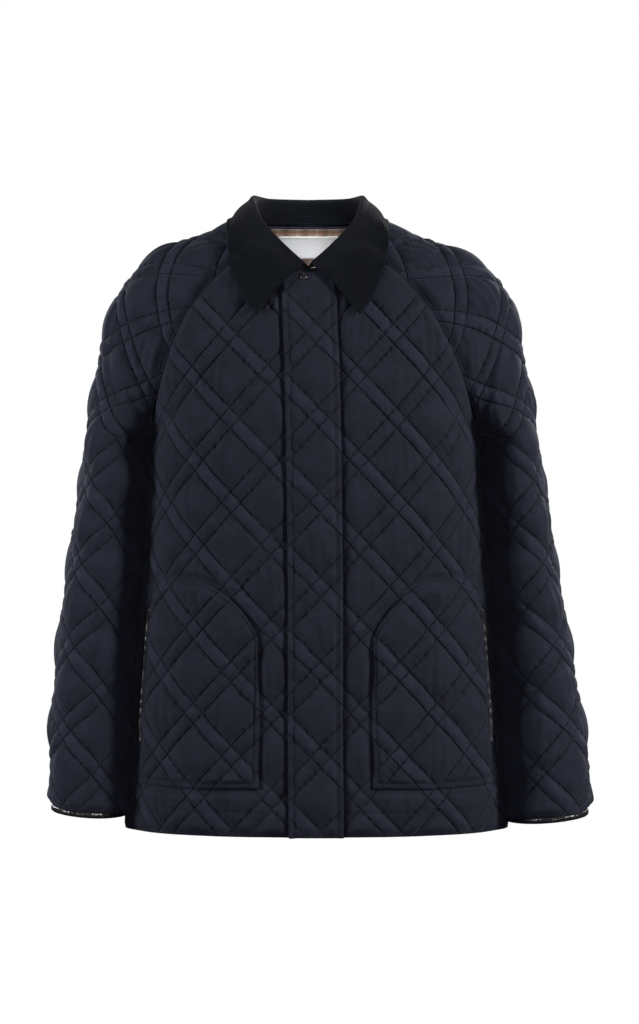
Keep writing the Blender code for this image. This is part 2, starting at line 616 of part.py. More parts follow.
def front_outline(sheet, sign, edge_u):
    """A front from its closing edge round the hem, side, raglan seam and neck."""
    place_at = lambda z, turn: on_front(sheet, z, turn)
    seam = [place_at(*row[3:]) for row in seam_line(FRONT_SEAM, sign, False)[STOPS]]
    neck = [place_at(r["z"], sign * r["turn"]) for r in finer(FRONT_NECK, ("z", "turn"), 11)]
    side = [place_at(z, sign * 90.0) for z in np.linspace(HEM_Z, ARMPIT_Z, 17)]
    hem = resample([(edge_u, -HEM_Z), side[0]], 0.024)
    if edge_u * sign < 0:
        extra = [place_at(r["z"], -sign * r["turn"]) for r in finer(FRONT_NECK, ("z", "turn"), 11)]
        extra = [p for p in extra if abs(p[0]) < abs(edge_u) - 0.001][1:]
        top = [(edge_u, float(np.interp(abs(edge_u), [abs(p[0]) for p in neck], [p[1] for p in neck])))]
        neck = top + extra[::-1] + neck
    else:
        keep = [p for p in neck if abs(p[0]) > abs(edge_u) + 0.001]
        top = (edge_u, float(np.interp(abs(edge_u), [abs(p[0]) for p in neck], [p[1] for p in neck])))
        neck = [top] + keep
    closing = resample([neck[0], (edge_u, -HEM_Z)], 0.045)
    return shrink(ring(closing, hem, side, seam[::-1], neck[::-1]), SEAM)


def back_outline(sheet):
    place_at = lambda z, turn: on_back(sheet, z, turn)
    left, right = ([place_at(*row[3:]) for row in seam_line(BACK_SEAM, sign, True)[STOPS]]
                   for sign in (1.0, -1.0))
    side_left = [place_at(z, 90.0) for z in np.linspace(ARMPIT_Z, HEM_Z, 17)]
    side_right = [place_at(z, -90.0) for z in np.linspace(HEM_Z, ARMPIT_Z, 17)]
    hem = resample([side_left[-1], side_right[0]], 0.024)
    neck = resample([right[0], left[0]], 0.016)
    return shrink(ring(left, side_left, hem, side_right, right[::-1], neck), SEAM)


def sleeve_outline(sheet, end_v):
    v = np.concatenate([sheet.v[STOPS], np.linspace(sheet.v[SEAM_ROWS], end_v, 18)[1:]])
    low = [(float(np.interp(x, sheet.v, sheet.u[:, 0])), x) for x in v]
    high = [(float(np.interp(x, sheet.v, sheet.u[:, -1])), x) for x in v]
    return shrink(ring(low, resample([low[-1], high[-1]], 0.020), high[::-1],
                       resample([high[0], low[0]], 0.012)), SEAM)


def pocket_outline(sheet, sign):
    """A pocket; the table's distances out are along the cloth from the middle line."""
    pts = [(sign * r["out"], -r["z"]) for r in POCKET]
    limit = lambda p: (sign * min(abs(p[0]), abs(on_front(sheet, -p[1], sign * 88.0)[0]) - 0.006), p[1])
    return resample([limit(p) for p in pts + pts[:1]], 0.022)[:-1]


def binding_outline(pocket):
    """The leather strip just outside the open stretch of a pocket's outer side."""
    run = sorted((p for p in pocket if BINDING_TOP >= -p[1] >= BINDING_LOW and abs(p[0]) > 0.15),
                 key=lambda p: p[1])
    sign = math.copysign(1.0, run[0][0])
    near = [(u + sign * 0.0004, v) for u, v in run]
    far = [(u + sign * (0.0004 + BINDING_WIDE * min(1.0, 0.45 + k, 0.45 + len(run) - 1 - k)), v)
           for k, (u, v) in enumerate(run)]
    return ring(near, far[::-1])


# ---------------------------------------------------------------- collar
def neck_line(front, back, sleeves):
    """The whole neck seam as a closed run of points from the back's middle to the wearer's left."""
    left = [back.point(*on_back(back, BACK_NECK_Z, t)) for t in np.linspace(0, 42, 12)]
    rows = sleeves["left"].rows[0]
    left += list(rows[::-1][1:-1:2])
    left += [front.point(*on_front(front, r["z"], r["turn"]))
             for r in finer(FRONT_NECK, ("z", "turn"), 12)[::-1]]
    right = [back.point(*on_back(back, BACK_NECK_Z, -t)) for t in np.linspace(0, 42, 12)]
    rows = sleeves["right"].rows[0]
    right += list(rows[1:-1:2])
    right += [front.point(*on_front(front, r["z"], -r["turn"]))
              for r in finer(FRONT_NECK, ("z", "turn"), 12)[::-1]]
    return {"left": even(np.array(left), 101), "right": even(np.array(right), 101)}


def collar_rows(neck, columns, across):
    """Collar skin seen from outside: from the neck seam up inside, over the roll and down the fall."""
    rows = []
    for side, sign in (("right", -1.0), ("left", 1.0)):
        line = neck[side]
        at = np.linspace(0, 1, columns)
        along = column(COLLAR, "along")
        roll = np.array([r["roll"] for r in COLLAR])
        edge = np.array([r["edge"] for r in COLLAR])
        table = [dict(along=a, rx=r[0], ry=r[1], rz=r[2], ex=e[0], ey=e[1], ez=e[2])
                 for a, r, e in zip(along, roll, edge)]
        vals = smooth_table(table, "along", ("rx", "ry", "rz", "ex", "ey", "ez"), at)
        stations = []
        for k, a in enumerate(at):
            base = line[min(int(round(a * 100)), 100)].copy()
            base[2] += 0.0008
            top = np.array([NECK_X + sign * vals[0][k], vals[1][k], vals[2][k]])
            low = np.array([NECK_X + sign * vals[3][k], vals[4][k], vals[5][k]])
            out = low - top
            out[2] = 0.0
            out = out / max(np.linalg.norm(out), 1e-9)
            base -= out * 0.0006
            lift = min(1.0, 1.0 - 0.72 * soft_step((a - 0.55) / 0.45))
            turn = 0.0042 * lift
            inner, outer = top - out * turn * 0.4, top + out * turn * 1.9
            inner = np.array([inner[0], inner[1], top[2] - turn * 1.2])
            outer = np.array([outer[0], outer[1], top[2] - turn * 1.2])
            crown = top + out * turn * 0.75 + np.array([0, 0, turn * 0.6])
            t = np.linspace(0, 1, across["stand"])[:, None]
            stand = base + (inner - base) * t
            fall_t = np.linspace(0, 1, across["fall"])[:, None]
            bulge = np.array([out[0], out[1], 0.35]) * 0.004
            fall = outer + (low - outer) * fall_t + bulge * np.sin(np.pi * fall_t)
            stations.append(np.concatenate([stand, crown[None], fall]))
        rows.append(np.array(stations))
    right, left = rows
    return np.concatenate([right[::-1], left[1:]])           # wearer's right front to left front


def clear_of(points, trees, gap):
    """Points moved out, where needed, to clear the panels they rest on."""
    out = []
    for p in points:
        p = Vector(p)
        for _ in range(4):
            for tree in trees:
                spot, normal, _, dist = tree.find_nearest(p)
                inside = (p - spot).dot(normal)
                if inside < gap and dist < 0.02:
                    p = p + normal * (gap - inside)
        if p.y < -0.03:
            for dx in (-0.008, 0.0, 0.008):
                for dz in (-0.008, 0.0, 0.008):
                    for tree in trees:
                        spot = tree.ray_cast(Vector((p.x + dx, -0.4, p.z + dz)), Vector((0, 1, 0)))[0]
                        if spot and spot.y < p.y + gap and spot.y > p.y - 0.02:
                            p.y = spot.y - gap
        out.append(np.array(p))
    return out


def add_collar(neck, trees):
    grid = collar_rows(neck, 17, dict(stand=3, fall=5))
    n, m = grid.shape[:2]
    for i in range(n):
        grid[i, 4:] = clear_of(grid[i, 4:], trees, LAY + COLLAR_WALL + 0.0009)
    du = np.gradient(grid, axis=0)
    dv = np.gradient(grid, axis=1)
    normal = np.cross(dv, du)
    normal /= np.linalg.norm(normal, axis=2)[..., None]
    under = grid - normal * COLLAR_WALL
    flat = np.array([(i, j) for i in range(n) for j in range(m)], float)
    tris = []
    for i in range(n - 1):
        for j in range(m - 1):
            a, b, c, d = i * m + j, (i + 1) * m + j, (i + 1) * m + j + 1, i * m + j + 1
            tris += [(a, b, c), (a, c, d)]
    wall("collar", "rib", (flat, tris, grid.reshape(-1, 3)), (flat, tris, under.reshape(-1, 3)))


# ---------------------------------------------------------------- build
def side_ease(sheet):
    """Less puff where the body and the sleeves press on each other."""
    def ease(flat):
        p = np.array([sheet.point(u, v) for u, v in flat])
        start = 0.02 + 0.035 * np.exp(-((p[:, 2] + 0.215) / 0.045) ** 2)
        return soft_step((np.abs(p[:, 1]) - start) / 0.05)
    return ease


def add_fronts(front):
    """Both fronts with the placket, pockets and bindings that lie on them."""
    quilts = {"right": Quilt(-0.0505, 0.2737), "left": Quilt(0.0505, 0.2737)}
    flap = [(-PLACKET_HALF, PLACKET_TOP), (0.2, PLACKET_TOP), (0.2, 0.8), (-PLACKET_HALF, 0.8)]
    for side, sign in (("right", -1.0), ("left", 1.0)):
        outline = front_outline(front, sign, PLACKET_HALF)
        pocket = pocket_outline(front, sign)
        binding = binding_outline(pocket)
        loops, nets = [pocket, binding], [(quilts[side], (-1.0, 1.0))]
        if side == "right":
            nets = [(quilts["right"], (-1.0, -PLACKET_HALF)), (quilts["left"], (-PLACKET_HALF, 1.0))]
            loops.append([(0.5, 0.8), (0.5, PLACKET_TOP)]
                         + resample([(-PLACKET_HALF, PLACKET_TOP), (-PLACKET_HALF, 0.8)], 0.045))
        relax = side_ease(front)

        def ease(flat, side=side, pocket=pocket, relax=relax):
            clear = soft_step((-edge_distance(flat, pocket) - 0.009) / 0.008)
            if side == "right":
                clear = clear * (flat[:, 0] < -PLACKET_HALF - 0.001)
            return relax(flat) * clear

        (flat, triangles), _ = panel(f"front_{side}", front, outline, nets, ease, loops)
        for name, look, region, low, thick, puff in (
                (f"pocket_{side}", "wool", pocket, LAY, POCKET_WALL, 1.0),
                (f"pocket_binding_{side}", "leather", binding, LAY, POCKET_WALL + 0.0012, 0.0),
                ("placket", "wool", flap, LAY, WALL, 1.0)):
            if name == "placket" and side == "left":
                continue
            points, faces = part_of(flat, triangles, region)
            edge = border_loop(points, faces)
            depth = np.maximum(edge_distance(points, edge), 0.0)
            rise = PUFF * quilts["left" if name == "placket" else side].height(points[:, 0], points[:, 1])
            rise = rise * soft_step(depth / 0.010) * puff * relax(points)
            if name == "placket":
                rise = rise * soft_step((points[:, 1] - 0.070) / 0.02)
            base = np.full(len(points), low)
            layer(name, look, front, points, faces, base, base + thick + rise)


def add_back(back):
    """Back, with the lining and the label that show inside its neck."""
    top = on_back(back, BACK_NECK_Z, 0.0)[1]
    inset = lambda half, upper, deep: resample(
        [(-half, upper), (half, upper), (half * 0.96, upper + deep), (-half * 0.96, upper + deep),
         (-half, upper)], 0.018)[:-1]
    lining = inset(LINING_HALF, top + 0.0012, LINING_DEEP)
    label = inset(LABEL_HALF, top + LABEL_TOP, LABEL_DEEP)
    _, (flat, triangles) = panel("back", back, back_outline(back), [(Quilt(0.0, 0.285), (-1.0, 1.0))],
                                 side_ease(back), (), (lining, label))
    for name, look, region, low, thick in (
            ("neck_lining", "lining", lining, WALL + LAY, LINING_WALL),
            ("neck_label", "label", label, WALL + LAY + LINING_WALL + 0.0004, LABEL_WALL)):
        points, faces = part_of(flat, triangles, region)
        base = np.full(len(points), -low)
        layer(name, look, back, points, faces, base - thick, base)


def add_sleeve(side, sheet):
    """Raglan sleeve and the leather edge of its cuff."""
    end = sheet.v[-1] - BINDING_DEEP
    outline = sleeve_outline(sheet, end)
    start = float(np.interp(0.344, -sheet.rows[:, 32, 2], sheet.v))
    quilt = Quilt(0.098 if side == "left" else -0.098, start)
    quilt.u0 = -quilt.u0

    def ease(flat):
        limit = np.where(flat[:, 0] < 0, -np.interp(flat[:, 1], sheet.v, sheet.u[:, 0]),
                         np.interp(flat[:, 1], sheet.v, sheet.u[:, -1]))
        lower = soft_step((flat[:, 1] - sheet.v[SEAM_ROWS] + 0.12) / 0.10)
        return 1.0 - lower * soft_step((np.abs(flat[:, 0]) / limit - 0.62) / 0.25) * 0.85

    panel(f"sleeve_{side}", sheet, outline, [(quilt, (-1.0, 1.0))], ease, gap=(0.022, 0.045),
          bow=BOW["sleeve"])
    v = (end + SEAM, sheet.v[-1])
    wide = [(float(sheet.row(x)[0][0]) + BINDING_END, float(sheet.row(x)[0][-1]) - BINDING_END) for x in v]
    band = resample([(wide[0][0], v[0]), (wide[0][1], v[0]), (wide[1][1], v[1]), (wide[1][0], v[1]),
                     (wide[0][0], v[0])], 0.016)[:-1]
    flat, triangles = fill(band)
    layer(f"cuff_binding_{side}", "leather", sheet, flat, triangles,
          np.full(len(flat), -WALL), np.full(len(flat), 0.0008))


def add_stud(front):
    """Press stud at the top of the placket."""
    middle = front.lifted(-0.006, STUD_V, LAY + WALL)
    normal = Vector(front.normal(-0.006, STUD_V))
    bm = bmesh.new()
    bmesh.ops.create_cone(bm, cap_ends=True, segments=20, radius1=STUD_R, radius2=STUD_R * 0.82, depth=0.0016)
    bmesh.ops.transform(bm, matrix=normal.to_track_quat("Z", "Y").to_matrix().to_4x4(), verts=bm.verts)
    bmesh.ops.translate(bm, vec=Vector(middle) + normal * 0.0011, verts=bm.verts)
    add_object("press_stud", bm, "metal")


def main():
    for obj in list(bpy.data.objects):
        bpy.data.objects.remove(obj)
    collection = bpy.data.collections.new("barn_jacket")
    bpy.context.scene.collection.children.link(collection)

    front, back = body_sheet(False), body_sheet(True)
    sleeves = {side: sleeve_sheet(side) for side in ("right", "left")}
    for side, sign in (("right", -1.0), ("left", 1.0)):
        join_seams(front, sleeves[side], FRONT_SEAM, sign, False)
        join_seams(back, sleeves[side], BACK_SEAM, sign, True)
    add_fronts(front)
    add_back(back)
    for side in ("right", "left"):
        add_sleeve(side, sleeves[side])
    add_stud(front)
    trees = []
    for name in ("front_right", "front_left", "back", "sleeve_right", "sleeve_left", "placket",
                 "press_stud"):
        bm = bmesh.new()
        bm.from_mesh(bpy.data.objects[name].data)
        trees.append(BVHTree.FromBMesh(bm))
        bm.free()
    add_collar(neck_line(front, back, sleeves), trees)


main()
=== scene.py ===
"""Looks of the quilted barn jacket: fine cloth, stitching, leather edges, ribbed collar and stage."""
import math

import bmesh
import bpy
import numpy as np
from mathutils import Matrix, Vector
from mathutils.bvhtree import BVHTree


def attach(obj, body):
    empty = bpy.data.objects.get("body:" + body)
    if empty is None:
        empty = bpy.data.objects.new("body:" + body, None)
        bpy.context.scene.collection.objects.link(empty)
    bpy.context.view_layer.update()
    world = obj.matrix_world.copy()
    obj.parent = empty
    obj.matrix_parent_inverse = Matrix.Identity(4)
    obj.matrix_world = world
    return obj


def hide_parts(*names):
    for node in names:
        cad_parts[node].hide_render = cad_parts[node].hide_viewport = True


bl_info = {
    "name": "Quilted barn jacket",
    "version": (1, 0, 0),
    "blender": (4, 5, 0),
    "location": "3D View > Sidebar > Jacket",
    "description": "Fine cloth, stitching and finishes of a quilted jacket on its packed solids",
    "category": "Object",
}

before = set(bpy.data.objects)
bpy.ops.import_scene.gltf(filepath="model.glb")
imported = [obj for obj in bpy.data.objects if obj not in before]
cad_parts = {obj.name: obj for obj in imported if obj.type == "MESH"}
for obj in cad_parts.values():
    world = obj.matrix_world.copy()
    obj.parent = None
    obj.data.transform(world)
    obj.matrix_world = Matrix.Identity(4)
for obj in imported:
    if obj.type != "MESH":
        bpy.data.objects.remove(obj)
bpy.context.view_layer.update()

# ---------------------------------------------------------------- sizes shared with the solids (metres)
WALL, LAY = 0.003, 0.0005                                # cloth, and the air between two layers
PUFF = 0.0072                                            # rise of the quilting
QUILT_ACROSS, QUILT_DOWN = 0.090, 0.097                  # one diamond
QUILT_BAND = 0.25                                        # paired stitch lines, as a share of a diamond
BEND = 2.3                                               # squareness of the body's section
PLACKET_HALF, PLACKET_TOP = 0.0310, 0.0565
COLLAR_WALL = 0.0024
BINDING_DEEP, BINDING_WIDE = 0.0062, 0.0065              # leather at the cuffs and at the pockets
BINDING_TOP, BINDING_LOW = -0.445, -0.606
LINING_DEEP, LINING_HALF, LINING_WALL = 0.085, 0.054, 0.0010
LABEL_TOP, LABEL_DEEP, LABEL_HALF, LABEL_WALL = 0.012, 0.034, 0.036, 0.0008
STUD_R, STUD_V = 0.0045, 0.0625
SEAM_ROWS = 40                                           # rows of a sleeve from neck to armpit
LEAN = 0.28
NECK_X = -0.007
HEM_Z, ARMPIT_Z, BACK_NECK_Z = -0.706, -0.246, 0.013

# ---------------------------------------------------------------- sizes of what only the looks show
FINE, FINE_BACK = 0.0026, 0.0029                         # spacing of the cloth's points
SLACK, PUCKER = 0.0016, 0.00085                          # unevenness of the quilting, and at its stitches
DITCH_WIDE = 0.019                                       # beside a stitch line, as a share of a diamond
ROLL, ROLL_TAPER = 0.0042, 0.72                          # collar's fold, and how it thins to the front
SWELL_TOP, SWELL_FADE = -0.215, 0.045                    # where body and sleeves start to touch
BODY_SWELL, SLEEVE_SWELL = 0.0058, 0.0080
FLAP_SEAM = 0.0065                                       # flap's edge to its topstitching
RIB_PITCH, RIB_LOOP = 0.0027, 0.0019
CHECK_PITCH, CHECK_GROUND = 0.024, (0.36, 0.24, 0.17)
# Stripes of the check: start and width, colour, strength.
CHECK_STRIPES = (
    (0.0, 0.0075, (0.040, 0.032, 0.030), 0.62), (0.0120, 0.0028, (0.70, 0.61, 0.52), 0.50),
    (0.0175, 0.0022, (0.42, 0.15, 0.06), 0.65),
)
# Press stud: radius and height, from the crown of the dome down.
STUD_PROFILE = (
    (0.0, 0.00195), (0.0012, 0.00190), (0.0022, 0.00172), (0.0029, 0.00142), (0.0032, 0.00112),
    (0.0035, 0.00104), (0.0040, 0.00112), (0.0044, 0.00098), (STUD_R, 0.00065), (0.0043, 0.00020),
    (0.0036, 0.0), (0.0, 0.0),
)
CAMERA_FAR, PIXEL = 3.1, 0.00119
FLOOR_Z, FLOOR_REACH = -1.35, 12
# Lamps: name, place, size, power, tint.
LIGHTS = (
    ("key_light", (2.4, -1.30, 0.40), 0.6, 62.0, (1.0, 0.99, 0.97)),
    ("side_light", (-2.3, -0.95, 0.1), 0.6, 40.0, (0.97, 0.98, 1.0)),
    ("front_light", (0.1, -3.6, -0.4), 0.8, 20.0, (1.0, 1.0, 1.0)),
    ("top_light", (0.0, -0.5, 2.0), 0.8, 3.0, (1.0, 1.0, 1.0)),
    ("back_light", (1.6, 2.2, 0.9), 1.0, 62.0, (1.0, 1.0, 1.0)),
    ("rear_fill", (-1.8, 2.0, 0.5), 1.2, 40.0, (0.97, 0.98, 1.0)),
)


def named(names, rows):
    """A table: its rows of numbers as dicts under their names."""
    return [dict(zip(names.split(), row)) for row in rows]


# Body: height, middle, half width and depth of the front, half width and depth of the back.
BODY = named("z mid front_w front_d back_w back_d", (
    (0.03, -0.007, 0.07, 0.046, 0.07, 0.038), (0.013, -0.007, 0.074, 0.054, 0.085, 0.056),
    (0.0, -0.007, 0.078, 0.059, 0.125, 0.071), (-0.02, -0.007, 0.088, 0.068, 0.151, 0.087),
    (-0.05, -0.006, 0.146, 0.083, 0.175, 0.103), (-0.09, -0.005, 0.185, 0.096, 0.192, 0.118),
    (-0.12, -0.004, 0.195, 0.104, 0.197, 0.126), (-0.165, -0.002, 0.199, 0.112, 0.199, 0.133),
    (-0.205, -0.001, 0.198, 0.117, 0.198, 0.136), (-0.25, 0.0, 0.1955, 0.12, 0.1955, 0.136),
    (-0.33, 0.001, 0.197, 0.121, 0.197, 0.132), (-0.42, 0.002, 0.2025, 0.121, 0.2025, 0.128),
    (-0.5, 0.002, 0.208, 0.12, 0.208, 0.126), (-0.6, 0.002, 0.215, 0.119, 0.215, 0.125),
    (-0.706, 0.003, 0.2225, 0.119, 0.2225, 0.125),
))

# Raglan seams: height and angle round the body from its middle line, neck first.
FRONT_SEAM = named("z turn", (
    (-0.02, 37.0), (-0.05, 40.0), (-0.09, 44.5), (-0.12, 49.5), (-0.14, 53.0), (-0.165, 58.0), (-0.2, 66.0),
    (-0.22, 71.5), (-0.238, 80.0), (-0.246, 90.0),
))
BACK_SEAM = named("z turn", (
    (0.013, 42.0), (0.0, 40.5), (-0.03, 43.5), (-0.06, 48.0), (-0.1, 53.0), (-0.15, 60.0), (-0.2, 69.0),
    (-0.236, 80.0), (-0.246, 90.0),
))
# Front neckline: angle from the middle line and height there. The back neckline is level.
FRONT_NECK = named("turn z", (
    (0.0, -0.05), (6.0, -0.0465), (14.0, -0.039), (22.0, -0.031), (30.0, -0.0245), (37.0, -0.02),
))

# Shoulder line of each sleeve from neck to armpit: distance out from x = 0, and height.
RIDGE = {
    "right": named("out z", (
        (0.078, 0.012), (0.11, 0.001), (0.134, -0.0065), (0.1575, -0.014), (0.176, -0.0215),
        (0.1985, -0.0355), (0.2205, -0.059), (0.2335, -0.0815), (0.242, -0.105), (0.2485, -0.1285),
        (0.2535, -0.1525), (0.258, -0.1765), (0.262, -0.2), (0.2665, -0.2475),
    )),
    "left": named("out z", (
        (0.064, 0.012), (0.096, 0.001), (0.12, -0.0065), (0.144, -0.014), (0.165, -0.0215), (0.191, -0.0355),
        (0.2185, -0.059), (0.2315, -0.0815), (0.2385, -0.105), (0.2435, -0.1285), (0.2475, -0.1525),
        (0.2515, -0.1765), (0.2555, -0.2), (0.2615, -0.2475),
    )),
}
# Sleeve below the armpit: height, inner and outer edge, middle and half depth, slope of the section.
SLEEVE = {
    "right": named("z near far y half_d slope", (
        (-0.246, 0.1975, 0.2665, 0.0, 0.066, 0.0), (-0.265, 0.2, 0.269, 0.0, 0.066, 0.01),
        (-0.29, 0.201, 0.272, -0.001, 0.066, 0.02), (-0.34, 0.2035, 0.28, -0.003, 0.065, 0.04),
        (-0.4, 0.207, 0.2885, -0.006, 0.063, 0.06), (-0.46, 0.2115, 0.296, -0.009, 0.061, 0.07),
        (-0.52, 0.215, 0.3025, -0.012, 0.059, 0.08), (-0.58, 0.218, 0.307, -0.015, 0.057, 0.09),
        (-0.64, 0.221, 0.309, -0.018, 0.055, 0.1), (-0.6885, 0.2235, 0.309, -0.02, 0.053, 0.1),
    )),
    "left": named("z near far y half_d slope", (
        (-0.246, 0.1975, 0.2615, 0.0, 0.066, 0.0), (-0.265, 0.2005, 0.2645, 0.0, 0.066, 0.01),
        (-0.29, 0.202, 0.268, -0.001, 0.066, 0.02), (-0.34, 0.2045, 0.276, -0.003, 0.065, 0.04),
        (-0.4, 0.2095, 0.2845, -0.006, 0.063, 0.06), (-0.46, 0.214, 0.2945, -0.009, 0.061, 0.07),
        (-0.52, 0.218, 0.3045, -0.012, 0.059, 0.07), (-0.58, 0.2215, 0.3145, -0.015, 0.057, 0.08),
        (-0.64, 0.225, 0.3215, -0.018, 0.055, 0.09), (-0.6945, 0.2275, 0.323, -0.02, 0.053, 0.1),
    )),
}

# Collar, neck to edge, for one half: place along it from the back, then roll line and outer edge
# measured from the neck's middle.
COLLAR = named("along rx ry rz ex ey ez", (
    (0.0, 0.0, 0.054, 0.045, 0.0, 0.094, -0.002), (0.22, 0.044, 0.043, 0.045, 0.07, 0.073, 0.003),
    (0.42, 0.063, 0.008, 0.044, 0.091, 0.008, 0.012), (0.56, 0.06, -0.026, 0.03, 0.094, -0.034, -0.004),
    (0.68, 0.053, -0.047, 0.012, 0.091, -0.066, -0.038), (0.82, 0.037, -0.066, -0.01, 0.082, -0.086, -0.07),
    (0.92, 0.018, -0.079, -0.03, 0.07, -0.096, -0.093), (1.0, 0.003, -0.087, -0.044, 0.0588, -0.103, -0.1075),
))

# Pocket outlines on the front: distance out from the middle line and height.
POCKET = named("out z", (
    (0.206, -0.416), (0.19, -0.412), (0.162, -0.411), (0.135, -0.413), (0.117, -0.42), (0.101, -0.431),
    (0.084, -0.447), (0.073, -0.463), (0.067, -0.478), (0.065, -0.54), (0.065, -0.6), (0.066, -0.65),
    (0.13, -0.652), (0.226, -0.65), (0.224, -0.612), (0.222, -0.56), (0.219, -0.51), (0.214, -0.46),
    (0.209, -0.44),
))


# ---------------------------------------------------------------- form of the cloth, as in the solids
def column(table, name):
    return np.array([row[name] for row in table])


def smooth_table(table, key, names, at):
    """Values of the named columns at the given keys, on smooth curves through the rows."""
    x = column(table, key)
    order = np.argsort(x)
    x = x[order]
    out = []
    for name in names:
        y = column(table, name)[order]
        slope = np.gradient(y, x)
        i = np.clip(np.searchsorted(x, at) - 1, 0, len(x) - 2)
        h = x[i + 1] - x[i]
        t = np.clip((at - x[i]) / h, 0.0, 1.0)
        out.append((2 * t ** 3 - 3 * t ** 2 + 1) * y[i] + (t ** 3 - 2 * t ** 2 + t) * h * slope[i]
                   + (3 * t ** 2 - 2 * t ** 3) * y[i + 1] + (t ** 3 - t ** 2) * h * slope[i + 1])
    return out


def soft_step(x):
    x = np.clip(x, 0.0, 1.0)
    return x * x * (3.0 - 2.0 * x)


def body_point(z, turn, back=False):
    """Point of the body at a height and a signed angle from its middle line (+ is the wearer's left)."""
    z, turn = np.broadcast_arrays(np.asarray(z, float), np.asarray(turn, float))
    side = ("back_w", "back_d") if back else ("front_w", "front_d")
    mid, wide, deep = smooth_table(BODY, "z", ("mid",) + side, z)
    a = np.radians(np.clip(turn, -90.0, 90.0))
    x = mid + wide * np.sign(a) * np.abs(np.sin(a)) ** (2.0 / BEND)
    y = deep * np.abs(np.cos(a)) ** (2.0 / BEND)
    return np.stack([x, y if back else -y, z], axis=-1)


def even(points, count):
    """The same line with evenly spaced points."""
    s = np.concatenate([[0.0], np.cumsum(np.linalg.norm(np.diff(points[:, :3], axis=0), axis=1))])
    t = np.linspace(0.0, s[-1], count)
    return np.stack([np.interp(t, s, points[:, k]) for k in range(points.shape[1])], axis=1)


def seam_line(table, sign, back):
    """Raglan seam from neck to armpit: its points in space with their height and angle."""
    z = column(table, "z")
    at = np.linspace(z[0], z[-1], 240)
    turn = sign * np.interp(-at, -z, column(table, "turn"))
    return even(np.column_stack([body_point(at, turn, back), at, turn]), SEAM_ROWS + 1)


class Sheet:
    """Cloth as rows of points: u along a row from the datum column, v from row to row."""

    def __init__(self, rows, v, datum):
        step = np.linalg.norm(np.diff(rows, axis=1), axis=2)
        run = np.concatenate([np.zeros((len(rows), 1)), np.cumsum(step, axis=1)], axis=1)
        self.u = run - run[:, datum:datum + 1]
        self.rows, self.v = rows, np.asarray(v)

    def row(self, v):
        r = float(np.interp(v, self.v, np.arange(len(self.v))))
        i = min(int(r), len(self.v) - 2)
        f = r - i
        return (self.u[i] * (1 - f) + self.u[i + 1] * f,
                self.rows[i] * (1 - f) + self.rows[i + 1] * f)

    def point(self, u, v):
        along, points = self.row(v)
        return np.array([np.interp(u, along, points[:, k]) for k in range(3)])


def body_sheet(back):
    """Front (u to the wearer's left) or back (u to the wearer's right), seen from outside."""
    z = np.linspace(0.028, HEM_Z - 0.012, 190)
    turn = np.linspace(-90.0, 90.0, 181)
    turn = turn[::-1] if back else turn
    rows = np.stack([body_point(np.full_like(turn, level), turn, back) for level in z])
    v = -z
    if back:
        middle = rows[:, 90]
        v = np.concatenate([[0.0], np.cumsum(np.linalg.norm(np.diff(middle, axis=0), axis=1))])
        v = v - np.interp(-BACK_NECK_Z, -z, v)
    return Sheet(rows, v, 90)


def cubic(a, b, c, d, t):
    t = t[:, None]
    return (1 - t) ** 3 * a + 3 * (1 - t) ** 2 * t * b + 3 * (1 - t) * t ** 2 * c + t ** 3 * d


